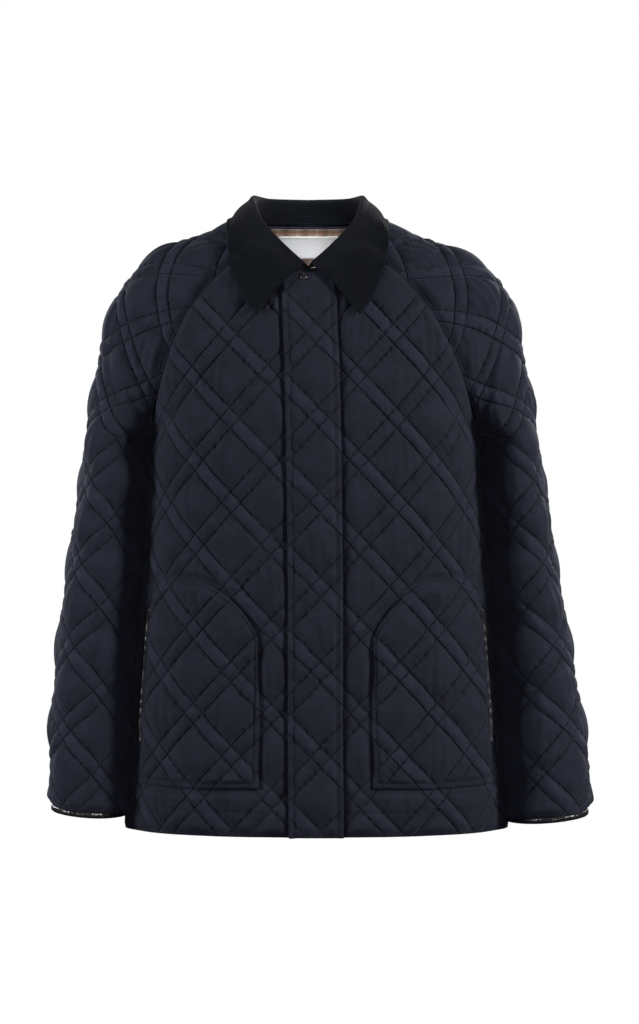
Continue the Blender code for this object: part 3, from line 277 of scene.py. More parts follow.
def sleeve_sheet(side):
    """Raglan sleeve: rings over the shoulder from neck to armpit, then closed rings to the cuff."""
    sign = -1.0 if side == "right" else 1.0
    front, back = (seam_line(t, sign, b)[:, :3] for t, b in ((FRONT_SEAM, False), (BACK_SEAM, True)))
    ridge = np.array([[sign * r["out"], 0.0, r["z"]] for r in RIDGE[side]])
    s = np.linspace(0, len(ridge) - 1, 300)
    fine = np.stack([np.interp(s, np.arange(len(ridge)), ridge[:, k]) for k in range(3)], axis=1)
    kernel = np.hanning(31) / np.hanning(31).sum()
    padded = np.concatenate([np.repeat(fine[:1], 15, 0), fine, np.repeat(fine[-1:], 15, 0)])
    soft = np.stack([np.convolve(padded[:, k], kernel, "valid") for k in range(3)], axis=1)
    soft[0], soft[-1] = fine[0], fine[-1]
    ridge = even(soft, 41)
    low = SLEEVE[side]
    t = np.linspace(0.0, 1.0, 33)
    rows = []
    for i in range(41):
        up = 1.0 - i / 40.0                                  # 1 at the neck, 0 at the armpit
        blend = float(soft_step(up / 0.42))
        f, m, b = front[i], ridge[i], back[i]
        halves = []
        for end, forward in ((f, -1.0), (b, 1.0)):
            chord = m - end
            size = np.linalg.norm(chord)
            reach = 4.0 / 3.0 * low[0]["half_d"] - 2.0 / 3.0 * abs(end[1])
            step = np.array([chord[0], -forward * 0.62 * abs(chord[0]), 0.0])
            step = step / np.linalg.norm(step) + np.array([0.0, 0.0, chord[2] / size])
            lead = (1 - blend) * reach * np.array([sign * LEAN, forward, 0.0]) + blend * 0.36 * size * step
            top = ((1 - blend) * reach + blend * 0.40 * size) * np.array([0.0, forward, 0.0])
            halves.append(cubic(end, end + lead, m + top, m, t))
        rows.append(np.concatenate([halves[0], halves[1][::-1][1:]]))
    z = np.linspace(low[0]["z"], low[-1]["z"], 76)[1:]
    near, far, mid, half_d, slope = smooth_table(low, "z", ("near", "far", "y", "half_d", "slope"), z)
    for k in range(len(z)):
        inner = np.array([sign * near[k], mid[k], z[k] - slope[k] * (far[k] - near[k]) / 2])
        outer = np.array([sign * far[k], mid[k], z[k] + slope[k] * (far[k] - near[k]) / 2])
        reach = np.array([0.0, 4.0 / 3.0 * half_d[k], 0.0])
        lean = np.array([sign * LEAN * reach[1], 0.0, 0.0])
        ahead = cubic(inner, inner - reach + lean, outer - reach, outer, t)
        behind = cubic(outer, outer + reach, inner + reach + lean, inner, t)
        rows.append(np.concatenate([ahead, behind[1:]]))
    rows = np.array(rows)
    if side == "right":
        rows = rows[:, ::-1]
    middle = rows[:, 32]
    v = np.concatenate([[0.0], np.cumsum(np.linalg.norm(np.diff(middle, axis=0), axis=1))])
    return Sheet(rows, v, 32)


def edge_distance(points, outline):
    """Distance to an outline, positive inside it."""
    p = np.atleast_2d(points)
    if len(p) > 4000:
        return np.concatenate([edge_distance(p[k:k + 4000], outline) for k in range(0, len(p), 4000)])
    a = np.array(outline)
    b = np.roll(a, -1, axis=0)
    ab = b - a
    t = np.clip(((p[:, None] - a) * ab).sum(2) / np.maximum((ab ** 2).sum(1), 1e-18), 0, 1)
    near = np.linalg.norm(p[:, None] - (a + t[..., None] * ab), axis=2).min(1)
    up = (a[:, 1] > p[:, None, 1]) != (b[:, 1] > p[:, None, 1])
    rise = np.where(ab[:, 1] == 0, 1e-18, ab[:, 1])
    cut = ab[:, 0] * (p[:, None, 1] - a[:, 1]) / rise + a[:, 0]
    inside = (up & (p[:, None, 0] < cut)).sum(1) % 2 == 1
    return np.where(inside, near, -near)


class Quilt:
    """Diamonds between paired stitch lines; (u0, v0) is one crossing of the pairs."""

    def __init__(self, u0, v0):
        self.u0, self.v0 = u0, v0

    def cell(self, u, v):
        x, y = (u - self.u0) / QUILT_ACROSS, (v - self.v0) / QUILT_DOWN
        return x + y, x - y

    def height(self, u, v):
        out = 1.0
        for c in self.cell(np.asarray(u), np.asarray(v)):
            t = np.mod(c + QUILT_BAND / 2, 1.0)
            thin = np.clip(t / QUILT_BAND, 0, 1)
            wide = np.clip((t - QUILT_BAND) / (1 - QUILT_BAND), 0, 1)
            out = out * np.where(t < QUILT_BAND, 0.5 * np.sin(np.pi * thin) ** 0.8,
                                 np.sin(np.pi * wide) ** 0.8)
        return out


def on_front(sheet, z, turn):
    """Flat place of a body point on its sheet, by height and signed angle."""
    along, _ = sheet.row(-z)
    return float(np.interp(turn, np.linspace(-90, 90, 181), along)), -z


def on_back(sheet, z, turn):
    level = float(np.interp(-z, -np.linspace(0.028, HEM_Z - 0.012, 190), sheet.v))
    along, _ = sheet.row(level)
    return float(np.interp(-turn, np.linspace(-90, 90, 181), along)), level


def finer(table, keys, count):
    t = np.linspace(0, len(table) - 1, count)
    return [dict(zip(keys, vals)) for vals in
            zip(*[np.interp(t, np.arange(len(table)), column(table, k)) for k in keys])]


def neck_line(front, back, sleeves):
    """The whole neck seam as a closed run of points from the back's middle to the wearer's left."""
    left = [back.point(*on_back(back, BACK_NECK_Z, t)) for t in np.linspace(0, 42, 12)]
    rows = sleeves["left"].rows[0]
    left += list(rows[::-1][1:-1:2])
    left += [front.point(*on_front(front, r["z"], r["turn"]))
             for r in finer(FRONT_NECK, ("z", "turn"), 12)[::-1]]
    right = [back.point(*on_back(back, BACK_NECK_Z, -t)) for t in np.linspace(0, 42, 12)]
    rows = sleeves["right"].rows[0]
    right += list(rows[1:-1:2])
    right += [front.point(*on_front(front, r["z"], -r["turn"]))
              for r in finer(FRONT_NECK, ("z", "turn"), 12)[::-1]]
    return {"left": even(np.array(left), 101), "right": even(np.array(right), 101)}


def collar_rows(neck, columns, across):
    """Collar skin seen from outside: from the neck seam up inside, over the roll and down the fall."""
    at = np.linspace(0, 1, columns)
    shape = np.array(smooth_table(COLLAR, "along", ("rx", "ry", "rz", "ex", "ey", "ez"), at))
    rows = []
    for side, sign in (("right", -1.0), ("left", 1.0)):
        flip, middle = np.array([sign, 1.0, 1.0]), np.array([NECK_X, 0.0, 0.0])
        stations = []
        for k, a in enumerate(at):
            base = neck[side][min(int(round(a * 100)), 100)].copy()
            base[2] += 0.0008
            top, low = shape[:3, k] * flip + middle, shape[3:, k] * flip + middle
            out = (low - top) * (1.0, 1.0, 0.0)
            out = out / max(np.linalg.norm(out), 1e-9)
            base -= out * 0.0006
            turn = ROLL * (1.0 - ROLL_TAPER * soft_step((a - 0.55) / 0.45))
            inner, outer = top - out * turn * 0.4, top + out * turn * 1.9
            inner[2] = outer[2] = top[2] - turn * 1.2
            crown = top + out * turn * 0.75 + np.array([0, 0, turn * 0.6])
            stand = base + (inner - base) * np.linspace(0, 1, across["stand"])[:, None]
            t = np.linspace(0, 1, across["fall"])[:, None]
            bulge = np.array([out[0], out[1], 0.35]) * 0.004
            fall = outer + (low - outer) * t + bulge * np.sin(np.pi * t)
            stations.append(np.concatenate([stand, crown[None], fall]))
        rows.append(np.array(stations))
    right, left = rows
    return np.concatenate([right[::-1], left[1:]])           # wearer's right front to left front


def clear_of(points, trees, gap):
    """Points moved out, where needed, to clear the panels they rest on."""
    out = []
    for p in points:
        p = Vector(p)
        for _ in range(4):
            for tree in trees:
                spot, normal, _, dist = tree.find_nearest(p)
                inside = (p - spot).dot(normal)
                if inside < gap and dist < 0.02:
                    p = p + normal * (gap - inside)
        if p.y < -0.03:
            for dx in (-0.008, 0.0, 0.008):
                for dz in (-0.008, 0.0, 0.008):
                    for tree in trees:
                        spot = tree.ray_cast(Vector((p.x + dx, -0.4, p.z + dz)), Vector((0, 1, 0)))[0]
                        if spot and spot.y < p.y + gap and spot.y > p.y - 0.02:
                            p.y = spot.y - gap
        out.append(np.array(p))
    return out


# ---------------------------------------------------------------- folds
# Fronts: ends (u across, v down) in metres, half width, and height of a ridge (+) or trough (-).
FRONT_FOLDS = named("u1 v1 u2 v2 wide high", (
    (-0.15, 0.205, -0.24, 0.262, 0.0075, -0.0026), (-0.128, 0.232, -0.215, 0.305, 0.0105, 0.0018),
    (-0.165, 0.262, -0.262, 0.34, 0.0085, -0.0016), (-0.105, 0.12, -0.138, 0.215, 0.012, -0.0012),
    (-0.225, 0.395, -0.268, 0.52, 0.014, -0.0015), (0.146, 0.198, 0.238, 0.25, 0.008, -0.0028),
    (0.122, 0.218, 0.205, 0.284, 0.011, 0.0017), (0.172, 0.27, 0.25, 0.362, 0.009, -0.0014),
    (0.098, 0.135, 0.122, 0.222, 0.013, -0.0011), (0.232, 0.42, 0.262, 0.56, 0.015, -0.0014),
    (0.15, 0.664, 0.185, 0.706, 0.016, 0.0016), (-0.14, 0.668, -0.172, 0.706, 0.018, 0.0015),
))
BACK_FOLDS = named("u1 v1 u2 v2 wide high", (
    (-0.16, 0.185, -0.262, 0.262, 0.009, -0.0026), (-0.15, 0.228, -0.24, 0.318, 0.012, 0.0016),
    (0.168, 0.192, 0.27, 0.256, 0.0085, -0.0024), (0.14, 0.236, 0.236, 0.33, 0.011, 0.0018),
    (-0.03, 0.04, -0.085, 0.072, 0.012, -0.0012), (0.036, 0.046, 0.092, 0.07, 0.011, -0.001),
    (-0.12, 0.52, -0.15, 0.735, 0.02, 0.0018), (0.07, 0.56, 0.088, 0.738, 0.018, -0.0015),
))
# Sleeves: u is forward of the shoulder line, v down it from the neck.
SLEEVE_FOLDS = {
    "right": named("u1 v1 u2 v2 wide high", (
        (0.022, 0.232, 0.07, 0.3, 0.007, -0.003), (0.04, 0.222, 0.092, 0.29, 0.0085, 0.0022),
        (0.058, 0.25, 0.118, 0.33, 0.0065, -0.0026), (0.085, 0.33, 0.14, 0.392, 0.009, -0.0022),
        (0.06, 0.352, 0.128, 0.428, 0.011, 0.0016), (0.02, 0.5, 0.105, 0.47, 0.012, -0.0015),
        (0.045, 0.64, 0.12, 0.618, 0.011, -0.0013), (-0.03, 0.24, -0.105, 0.318, 0.0085, -0.0026),
        (-0.062, 0.258, -0.13, 0.35, 0.011, 0.0018), (-0.04, 0.512, -0.124, 0.486, 0.013, -0.0018),
    )),
    "left": named("u1 v1 u2 v2 wide high", (
        (0.026, 0.226, 0.066, 0.286, 0.0075, -0.0026), (0.048, 0.232, 0.1, 0.306, 0.008, 0.002),
        (0.07, 0.262, 0.122, 0.336, 0.007, -0.003), (0.078, 0.318, 0.138, 0.372, 0.0095, -0.0018),
        (0.03, 0.468, 0.115, 0.498, 0.012, -0.0016), (0.038, 0.655, 0.112, 0.676, 0.012, -0.0014),
        (-0.034, 0.236, -0.098, 0.31, 0.009, -0.0024), (-0.058, 0.268, -0.128, 0.342, 0.0105, 0.0017),
        (-0.03, 0.548, -0.118, 0.52, 0.013, -0.0016),
    )),
}


def spread(sheet, flat):
    """Points in space of an array of flat (u, v) places on a sheet."""
    shape = flat.shape[:-1]
    u, v = flat[..., 0].ravel(), flat[..., 1].ravel()
    r = np.interp(v, sheet.v, np.arange(len(sheet.v)))
    i = np.minimum(r.astype(int), len(sheet.v) - 2)
    f = (r - i)[:, None]
    out = np.empty((len(u), 3))
    for k in range(0, len(u), 4000):
        ic, fc, uc = i[k:k + 4000], f[k:k + 4000], u[k:k + 4000]
        along = sheet.u[ic] * (1 - fc) + sheet.u[ic + 1] * fc
        j = np.clip((along < uc[:, None]).sum(1) - 1, 0, along.shape[1] - 2)
        n = np.arange(len(j))
        t = (uc - along[n, j]) / np.maximum(along[n, j + 1] - along[n, j], 1e-12)
        t = np.clip(t, 0, 1)[:, None]
        low = sheet.rows[ic, j] * (1 - fc) + sheet.rows[ic + 1, j] * fc
        high = sheet.rows[ic, j + 1] * (1 - fc) + sheet.rows[ic + 1, j + 1] * fc
        out[k:k + 4000] = low * (1 - t) + high * t
    return out.reshape(shape + (3,))


def facing(sheet, flat, h=0.004):
    """Outward directions of a sheet at flat places."""
    du = spread(sheet, flat + (h, 0)) - spread(sheet, flat - (h, 0))
    dv = spread(sheet, flat + (0, h)) - spread(sheet, flat - (0, h))
    n = np.cross(dv, du)
    return n / np.maximum(np.linalg.norm(n, axis=-1), 1e-9)[..., None]


def spaced(line, count):
    """A flat line with evenly spaced points."""
    line = np.asarray(line, float)
    s = np.concatenate([[0.0], np.cumsum(np.linalg.norm(np.diff(line, axis=0), axis=1))])
    t = np.linspace(0.0, s[-1], count)
    return np.stack([np.interp(t, s, line[:, k]) for k in range(2)], axis=1)


def patch(left, right, top, bottom, gap):
    """Even grid of flat points between four lines; rows run from left to right, the top row first."""
    size = lambda a: np.linalg.norm(np.diff(np.asarray(a, float), axis=0), axis=1).sum()
    down = int(max(size(left), size(right)) / gap) + 2
    across = int(max(size(top), size(bottom)) / gap) + 2
    l, r = spaced(left, down)[:, None], spaced(right, down)[:, None]
    a, b = spaced(top, across)[None], spaced(bottom, across)[None]
    s = np.linspace(0, 1, across)[None, :, None]
    t = np.linspace(0, 1, down)[:, None, None]
    corners = l[:1] * (1 - s) * (1 - t) + r[:1] * s * (1 - t) + l[-1:] * (1 - s) * t + r[-1:] * s * t
    return l * (1 - s) + r * s + a * (1 - t) + b * t - corners


def between(left, right, gap):
    """Even grid between two lines, straight across at the top and bottom."""
    return patch(left, right, [left[0], right[0]], [left[-1], right[-1]], gap)


def rim_depth(flat):
    """Distance of each grid point from the grid's own edges, along its rows and columns."""
    runs = []
    for axis in (0, 1):
        step = np.linalg.norm(np.diff(flat, axis=axis), axis=2)
        run = np.insert(np.cumsum(step, axis=axis), 0, 0.0, axis=axis)
        runs.append(np.minimum(run, run.take([-1], axis=axis) - run))
    return np.minimum(*runs)


def fold_height(flat, table):
    """Soft troughs and ridges whose middles wander and whose ends die out."""
    out = np.zeros(flat.shape[:2])
    for k, row in enumerate(table):
        a = np.array([row["u1"], row["v1"]])
        d = np.array([row["u2"], row["v2"]]) - a
        size = np.linalg.norm(d)
        d = d / size
        rel = flat - a
        t = (rel @ d) / size
        side = rel @ np.array([-d[1], d[0]]) + 0.12 * row["wide"] * np.sin(9.0 * t + 2.1 * k)
        wide = row["wide"] * (0.75 + 0.5 * np.clip(t, 0, 1))
        ends = soft_step(np.clip(t, 0, 1) / 0.3) * soft_step((1 - np.clip(t, 0, 1)) / 0.45)
        out += row["high"] * np.exp(-(side / wide) ** 2) * ends
    return out


def ripple(x, y, seed):
    """Slow unevenness of soft cloth, between about -1 and 1."""
    out = np.zeros_like(x)
    for k, (fx, fy, p) in enumerate(((31, 17, 0.4), (-23, 41, 2.2), (57, -29, 4.0), (71, 63, 1.3),
                                     (-97, 83, 5.1))):
        out += np.sin(fx * x + fy * y + p + seed * (1.7 + k)) / (1.0 + 0.35 * k)
    return out / 2.4


def quilted(quilt, flat, seed):
    """Rise of quilted cloth with puckers along its stitch lines, and its lattice coordinates."""
    u, v = flat[..., 0], flat[..., 1]
    a, b = quilt.cell(u, v)
    rise = quilt.height(u, v) ** 0.5
    pucker = np.zeros_like(u)
    for c, other, shift in ((a, b, 0.0), (b, a, 1.9)):
        for line in (-QUILT_BAND / 2, QUILT_BAND / 2):
            index = np.round(c - line)
            near = c - line - index
            phase = np.sin(index * 12.9 + seed + shift + line * 40.0) * 6.0
            wave = np.sin(2 * np.pi * 7.0 * other + phase + 1.3 * np.sin(5.0 * other + index))
            pucker += wave * np.exp(-(near / 0.075) ** 2) * (0.7 + 0.3 * np.sin(3.1 * other + phase))
    slack = np.sin(2 * np.pi * u / 0.0165 + 2.2 * np.sin(31 * v + 3.0 * np.floor(a) + seed)
                   + 1.7 * np.sin(19 * v + 2.0 * np.floor(b))) * np.sin(2 * np.pi * u / 0.041 + 13 * v + seed)
    slack *= 0.5 + 0.5 * np.sin(2.7 * np.floor(a) + 4.1 * np.floor(b) + seed)
    rise = PUFF * rise * (1 + 0.12 * ripple(u, v, seed)) + SLACK * slack * rise
    return rise + PUCKER * pucker, np.stack([a, b], axis=-1)


def finish_mesh(name, verts, faces, looks, maps=(), smooth=True, index=None):
    """A new mesh object with its materials and maps of flat coordinates, one pair per corner point."""
    mesh = bpy.data.meshes.new(name)
    mesh.from_pydata([tuple(p) for p in verts], [], faces)
    loops = np.empty(len(mesh.loops), int)
    mesh.loops.foreach_get("vertex_index", loops)
    for label, values in maps:
        layer = mesh.uv_layers.new(name=label)
        layer.data.foreach_set("uv", np.asarray(values, np.float32)[loops].ravel())
    for look in looks:
        mesh.materials.append(look)
    if index is not None:
        mesh.polygons.foreach_set("material_index", index)
    if smooth:
        mesh.shade_smooth()
    obj = bpy.data.objects.new(name, mesh)
    bpy.context.scene.collection.objects.link(obj)
    return obj


def cloth_piece(name, points, normals, thick, looks, maps, rounded=0.0006):
    """A shell from a grid of outer points: the outer skin, a coarser inner skin and a rolled edge."""
    rows, cols = points.shape[:2]
    grid = np.arange(rows * cols).reshape(rows, cols)
    faces = np.stack([grid[:-1, :-1], grid[1:, :-1], grid[1:, 1:], grid[:-1, 1:]], axis=-1).reshape(-1, 4)
    loop = np.concatenate([grid[0, :-1], grid[:-1, -1], grid[-1, :0:-1], grid[:0:-1, 0]])
    flat_points, flat_normals = points.reshape(-1, 3), normals.reshape(-1, 3)
    middle = flat_points[loop]
    tangent = np.roll(middle, -1, 0) - np.roll(middle, 1, 0)
    out_way = np.cross(flat_normals[loop], tangent)
    out_way /= np.maximum(np.linalg.norm(out_way, axis=1), 1e-9)[:, None]
    rings = []
    for depth, reach in ((0.22, 0.75), (0.5, 1.0), (0.78, 0.75), (1.0, 0.0)):
        rings.append(middle - flat_normals[loop] * thick * depth + out_way * rounded * reach)
    inner_rows = sorted(set(range(0, rows - 1, 4)) | {rows - 1})
    inner_cols = sorted(set(range(0, cols - 1, 4)) | {cols - 1})
    total = rows * cols
    verts = [flat_points] + rings
    all_faces = [list(map(int, f)) for f in faces]
    n = len(loop)
    before = [int(k) for k in loop]
    for k in range(len(rings)):
        here = [total + k * n + j for j in range(n)]
        all_faces += [[before[j], before[(j + 1) % n], here[(j + 1) % n], here[j]] for j in range(n)]
        before = here
    outer_count = len(all_faces)
    base = total + len(rings) * n
    ring_of = {int(g): base - n + j for j, g in enumerate(loop)}
    place_of, spots = {}, []
    for r, i in enumerate(inner_rows):
        for c, j in enumerate(inner_cols):
            g = int(grid[i, j])
            if g in ring_of:
                place_of[(r, c)] = ring_of[g]
            else:
                place_of[(r, c)] = base + len(spots)
                spots.append(g)
    for r in range(len(inner_rows) - 1):
        for c in range(len(inner_cols) - 1):
            i0, i1, j0, j1 = inner_rows[r], inner_rows[r + 1], inner_cols[c], inner_cols[c + 1]
            face = [place_of[(r, c)]]
            if j0 == 0:
                face += [ring_of[int(grid[i, 0])] for i in range(i0 + 1, i1)]
            face.append(place_of[(r + 1, c)])
            if i1 == rows - 1:
                face += [ring_of[int(grid[-1, j])] for j in range(j0 + 1, j1)]
            face.append(place_of[(r + 1, c + 1)])
            if j1 == cols - 1:
                face += [ring_of[int(grid[i, -1])] for i in range(i1 - 1, i0, -1)]
            face.append(place_of[(r, c + 1)])
            if i0 == 0:
                face += [ring_of[int(grid[0, j])] for j in range(j1 - 1, j0, -1)]
            all_faces.append(face[::-1])
    verts.append(flat_points[spots] - flat_normals[spots] * thick)
    full_maps = []
    for label, values in maps:
        values = values.reshape(-1, 2)
        full_maps.append((label, np.concatenate([values] + [values[loop]] * len(rings) + [values[spots]])))
    index = [0] * outer_count + [len(looks) - 1] * (len(all_faces) - outer_count)
    return finish_mesh(name, np.concatenate(verts), all_faces, looks, full_maps, index=index)


def grid_normals(points):
    """Outward directions of a grid of points whose rows run down the cloth."""
    n = np.cross(np.gradient(points, axis=0), np.gradient(points, axis=1))
    return n / np.maximum(np.linalg.norm(n, axis=2), 1e-9)[..., None]


def make_piece(piece, solid, points, thick, looks, maps, rounded=0.0006):
    """A finished sheet from its outer points: it rides on the body."""
    obj = cloth_piece(piece, points, grid_normals(points), thick, looks, maps, rounded)
    declare(obj, solid)


def declare(obj, solid):
    """Hang a finished piece from the body's root and hide its solid."""
    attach(obj, "root")
    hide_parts(solid)


# ---------------------------------------------------------------- what the pieces share
class Jacket:
    """Sheets, quilts and the finished skins that later pieces rest on."""

    def __init__(self):
        self.front, self.back = body_sheet(False), body_sheet(True)
        self.sleeves = {side: sleeve_sheet(side) for side in ("right", "left")}
        self.quilts = {"right": Quilt(-0.0505, 0.2737), "left": Quilt(0.0505, 0.2737)}
        self.skins = {}
        self.runs = []

    def skin(self, name, points):
        rows, cols = points.shape[:2]
        grid = np.arange(rows * cols).reshape(rows, cols)
        faces = np.stack([grid[:-1, :-1], grid[1:, :-1], grid[1:, 1:], grid[:-1, 1:]], axis=-1)
        self.skins[name] = BVHTree.FromPolygons([tuple(p) for p in points.reshape(-1, 3)],
                                                faces.reshape(-1, 4).tolist())

    def stitch(self, name, sheet, line, lift=0.00035):
        """Keep a row of topstitching along a flat line of a sheet, on a finished skin."""
        line = spaced(line, max(3, len(line) * 8))
        base = spread(sheet, line[None])[0]
        out = facing(sheet, line[None])[0]
        points = []
        for p, n in zip(base, out):
            hit = self.skins[name].ray_cast(Vector(p + n * 0.02), Vector(-n), 0.05)[0]
            spot = np.array(hit) if hit else p
            points.append(spot + n * lift)
        self.runs.append(points)


def pocket_lines(front, sign):
    """A pocket's front edge, outer edge, top and bottom as flat lines, the top line outwards."""
    reach = lambda v: abs(on_front(front, -v, sign * 88.0)[0]) - 0.006
    pts = [(min(r["out"], reach(-r["z"])), -r["z"]) for r in POCKET]
    outer = pts[13:] + [pts[0]]
    top, inner, low = pts[0:9], pts[8:12], pts[11:14]
    flip = lambda line: np.array([(sign * u, v) for u, v in line])
    return dict(inner=flip(inner), outer=flip(outer[::-1]), top=flip(top[::-1]), low=flip(low))


def front_body(jacket, side):
    """Flat grid of one front."""
    sign = -1.0 if side == "right" else 1.0
    front, edge = jacket.front, PLACKET_HALF
    seam = [on_front(front, *row[3:]) for row in seam_line(FRONT_SEAM, sign, False)]
    down = [on_front(front, z, sign * 90.0) for z in np.linspace(ARMPIT_Z, HEM_Z, 30)[1:]]
    neck = [on_front(front, r["z"], sign * r["turn"]) for r in finer(FRONT_NECK, ("z", "turn"), 24)]
    if side == "left":
        start = float(np.interp(edge, [p[0] for p in neck], [p[1] for p in neck]))
        top = [(edge, start)] + [p for p in neck if p[0] > edge + 0.001]
    else:
        top = [(edge, 0.0500)] + neck
    closing, hem = [top[0], (edge, -HEM_Z)], [(edge, -HEM_Z), down[-1]]
    return patch(*side_lines(sign, closing, seam + down, top, hem), FINE)


# ---------------------------------------------------------------- materials
def node(tree, kind, settings=(), **links):
    """A node with its settings, and values or sockets for its inputs by name or number (i0, i1 ...)."""
    made = tree.nodes.new(kind)
    for key, value in dict(settings).items():
        setattr(made, key, value)
    for key, value in links.items():
        numbered = key[0] == "i" and key[1:].isdigit()
        socket = made.inputs[int(key[1:]) if numbered else key.replace("_", " ")]
        if isinstance(value, bpy.types.NodeSocket):
            tree.links.new(value, socket)
        else:
            socket.default_value = value
    return made


def maths(tree, operation, *values):
    links = {f"i{k}": value for k, value in enumerate(values)}
    return node(tree, "ShaderNodeMath", {"operation": operation}, **links).outputs[0]


def group(name, kind, inputs, outputs):
    """A new node group with named inputs and outputs."""
    tree = bpy.data.node_groups.new(name, kind)
    for label, sort, default in inputs:
        socket = tree.interface.new_socket(label, in_out="INPUT", socket_type="NodeSocket" + sort)
        if default is not None:
            socket.default_value = default
    for label, sort in outputs:
        tree.interface.new_socket(label, in_out="OUTPUT", socket_type="NodeSocket" + sort)
    return tree, tree.nodes.new("NodeGroupInput"), tree.nodes.new("NodeGroupOutput")


def nap_group():
    """Flannel: fine fibres over slow clouds of shade, as a mask and a height."""
    tree, put, out = group("flannel_nap", "ShaderNodeTree",
                           [("Vector", "Vector", None), ("Fibre", "Float", 900.0), ("Cloud", "Float", 40.0)],
                           [("Shade", "Float"), ("Height", "Float")])
    fibre, cloud = (node(tree, "ShaderNodeTexNoise", Vector=put.outputs["Vector"], Scale=put.outputs[label],
                         Detail=detail, Roughness=rough).outputs[0]
                    for label, detail, rough in (("Fibre", 3.0, 0.65), ("Cloud", 4.0, 0.6)))
    shade = maths(tree, "MULTIPLY_ADD", fibre, 0.62, maths(tree, "MULTIPLY", cloud, 0.38))
    tree.links.new(shade, out.inputs["Shade"])
    tree.links.new(fibre, out.inputs["Height"])
    return tree


def seam_group():
    """Quilting thread along the paired lines of a lattice: a dashed thread mask and the ditch it pulls."""
    tree, put, out = group("quilting_thread", "ShaderNodeTree",
                           [("Lattice", "Vector", None), ("Thread Width", "Float", 0.005),
                            ("Stitches", "Float", 21.0)], [("Thread", "Float"), ("Ditch", "Float")])
    a, b, _ = node(tree, "ShaderNodeSeparateXYZ", Vector=put.outputs["Lattice"]).outputs
    masks = {"Thread": [], "Ditch": []}
    for c, other in ((a, b), (b, a)):
        for line in (-QUILT_BAND / 2, QUILT_BAND / 2):
            t = maths(tree, "FRACT", maths(tree, "SUBTRACT", c, line - 0.5))
            near = maths(tree, "ABSOLUTE", maths(tree, "SUBTRACT", t, 0.5))
            on = maths(tree, "LESS_THAN", near, put.outputs["Thread Width"])
            along = maths(tree, "FRACT", maths(tree, "MULTIPLY", other, put.outputs["Stitches"]))
            masks["Thread"].append(maths(tree, "MULTIPLY", on, maths(tree, "LESS_THAN", along, 0.66)))
            far = maths(tree, "MINIMUM", maths(tree, "DIVIDE", near, DITCH_WIDE), 1.0)
            masks["Ditch"].append(maths(tree, "SUBTRACT", 1.0, far))
    for label, items in masks.items():
        total = items[0]
        for item in items[1:]:
            total = maths(tree, "MAXIMUM", total, item)
        tree.links.new(total, out.inputs[label])
    return tree


def blank(name):
    mat = bpy.data.materials.new(name)
    mat.use_nodes = True
    return mat, mat.node_tree


def flat_map(tree, name="cloth"):
    return node(tree, "ShaderNodeUVMap", {"uv_map": name}).outputs[0]


def on_piece(tree):
    """The piece's own place in space."""
    return node(tree, "ShaderNodeTexCoord").outputs["Object"]


def waves(tree, value, length):
    return maths(tree, "SINE", maths(tree, "MULTIPLY", value, 2 * math.pi / length))


def mix(tree, share, low, high):
    """A colour between two, each a colour or a socket."""
    low, high = (c if isinstance(c, bpy.types.NodeSocket) else (*c, 1.0) for c in (low, high))
    return node(tree, "ShaderNodeMix", {"data_type": "RGBA"}, i0=share, i6=low, i7=high).outputs[2]


def times(colour, factor):
    return tuple(np.array(colour) * factor)


def surface(tree, colour, height=None, strength=0.0, distance=0.0, **values):
    """Set the finish: its colour, the bump of a height and the other values of its shader."""
    values["Base_Color"] = colour
    if height is not None:
        values["Normal"] = node(tree, "ShaderNodeBump", Strength=strength, Distance=distance,
                                Height=height).outputs[0]
    skin = tree.nodes["Principled BSDF"]
    for key, value in values.items():
        socket = skin.inputs[key.replace("_", " ")]
        if isinstance(value, bpy.types.NodeSocket):
            tree.links.new(value, socket)
        else:
            socket.default_value = value


def wool_look(looks, name, shade=1.0, thread=True):
    """Navy flannel with nap, slow shade changes, sheen and, where quilted, its thread, a painted highlight on
    the raised bands between paired lines and painted shade in the stitch ditches.
    """
    mat, tree = blank(name)
    nap = node(tree, "ShaderNodeGroup", {"node_tree": looks.nap}, Vector=flat_map(tree), Fibre=680.0,
               Cloud=45.0)
    colour = mix(tree, maths(tree, "MULTIPLY_ADD", nap.outputs["Shade"], 2.4, -0.70),
                 times(looks.wool, 0.32 * shade), times(looks.wool, 1.85 * shade))
    height = nap.outputs["Height"]
    if thread:
        lattice = flat_map(tree, "lattice")
        sewn = node(tree, "ShaderNodeGroup", {"node_tree": looks.thread_run}, Lattice=lattice,
                    Thread_Width=0.0048, Stitches=21.0)
        across = node(tree, "ShaderNodeSeparateXYZ", Vector=lattice).outputs[1]
        # Painted highlight: the raised bands between the paired stitch lines are lightened, by a share that
        # varies with the nap.
        crest = maths(tree, "LESS_THAN", maths(tree, "PINGPONG", across, 0.5), QUILT_BAND * 0.36)
        painted_band_highlight = maths(tree, "MULTIPLY", crest, maths(tree, "MULTIPLY_ADD", nap.outputs["Shade"], 1.2, -0.20))
        colour = mix(tree, maths(tree, "MULTIPLY", painted_band_highlight, 0.50), colour, times(looks.wool, 3.2))
        # Painted shade: the stitch ditches are darkened.
        colour = mix(tree, maths(tree, "MULTIPLY", sewn.outputs["Ditch"], 0.80), colour,
                     times(looks.wool, 0.18))
        colour = mix(tree, maths(tree, "MULTIPLY", sewn.outputs["Thread"], 0.55), colour, looks.thread)
        height = maths(tree, "SUBTRACT", height, maths(tree, "MULTIPLY", sewn.outputs["Ditch"], 2.2))
    surface(tree, colour, height, 0.9, 0.00075, Roughness=0.88, Specular_IOR_Level=0.25, Sheen_Weight=0.08,
            Sheen_Roughness=0.40, Sheen_Tint=(0.60, 0.65, 0.80, 1.0))
    return mat


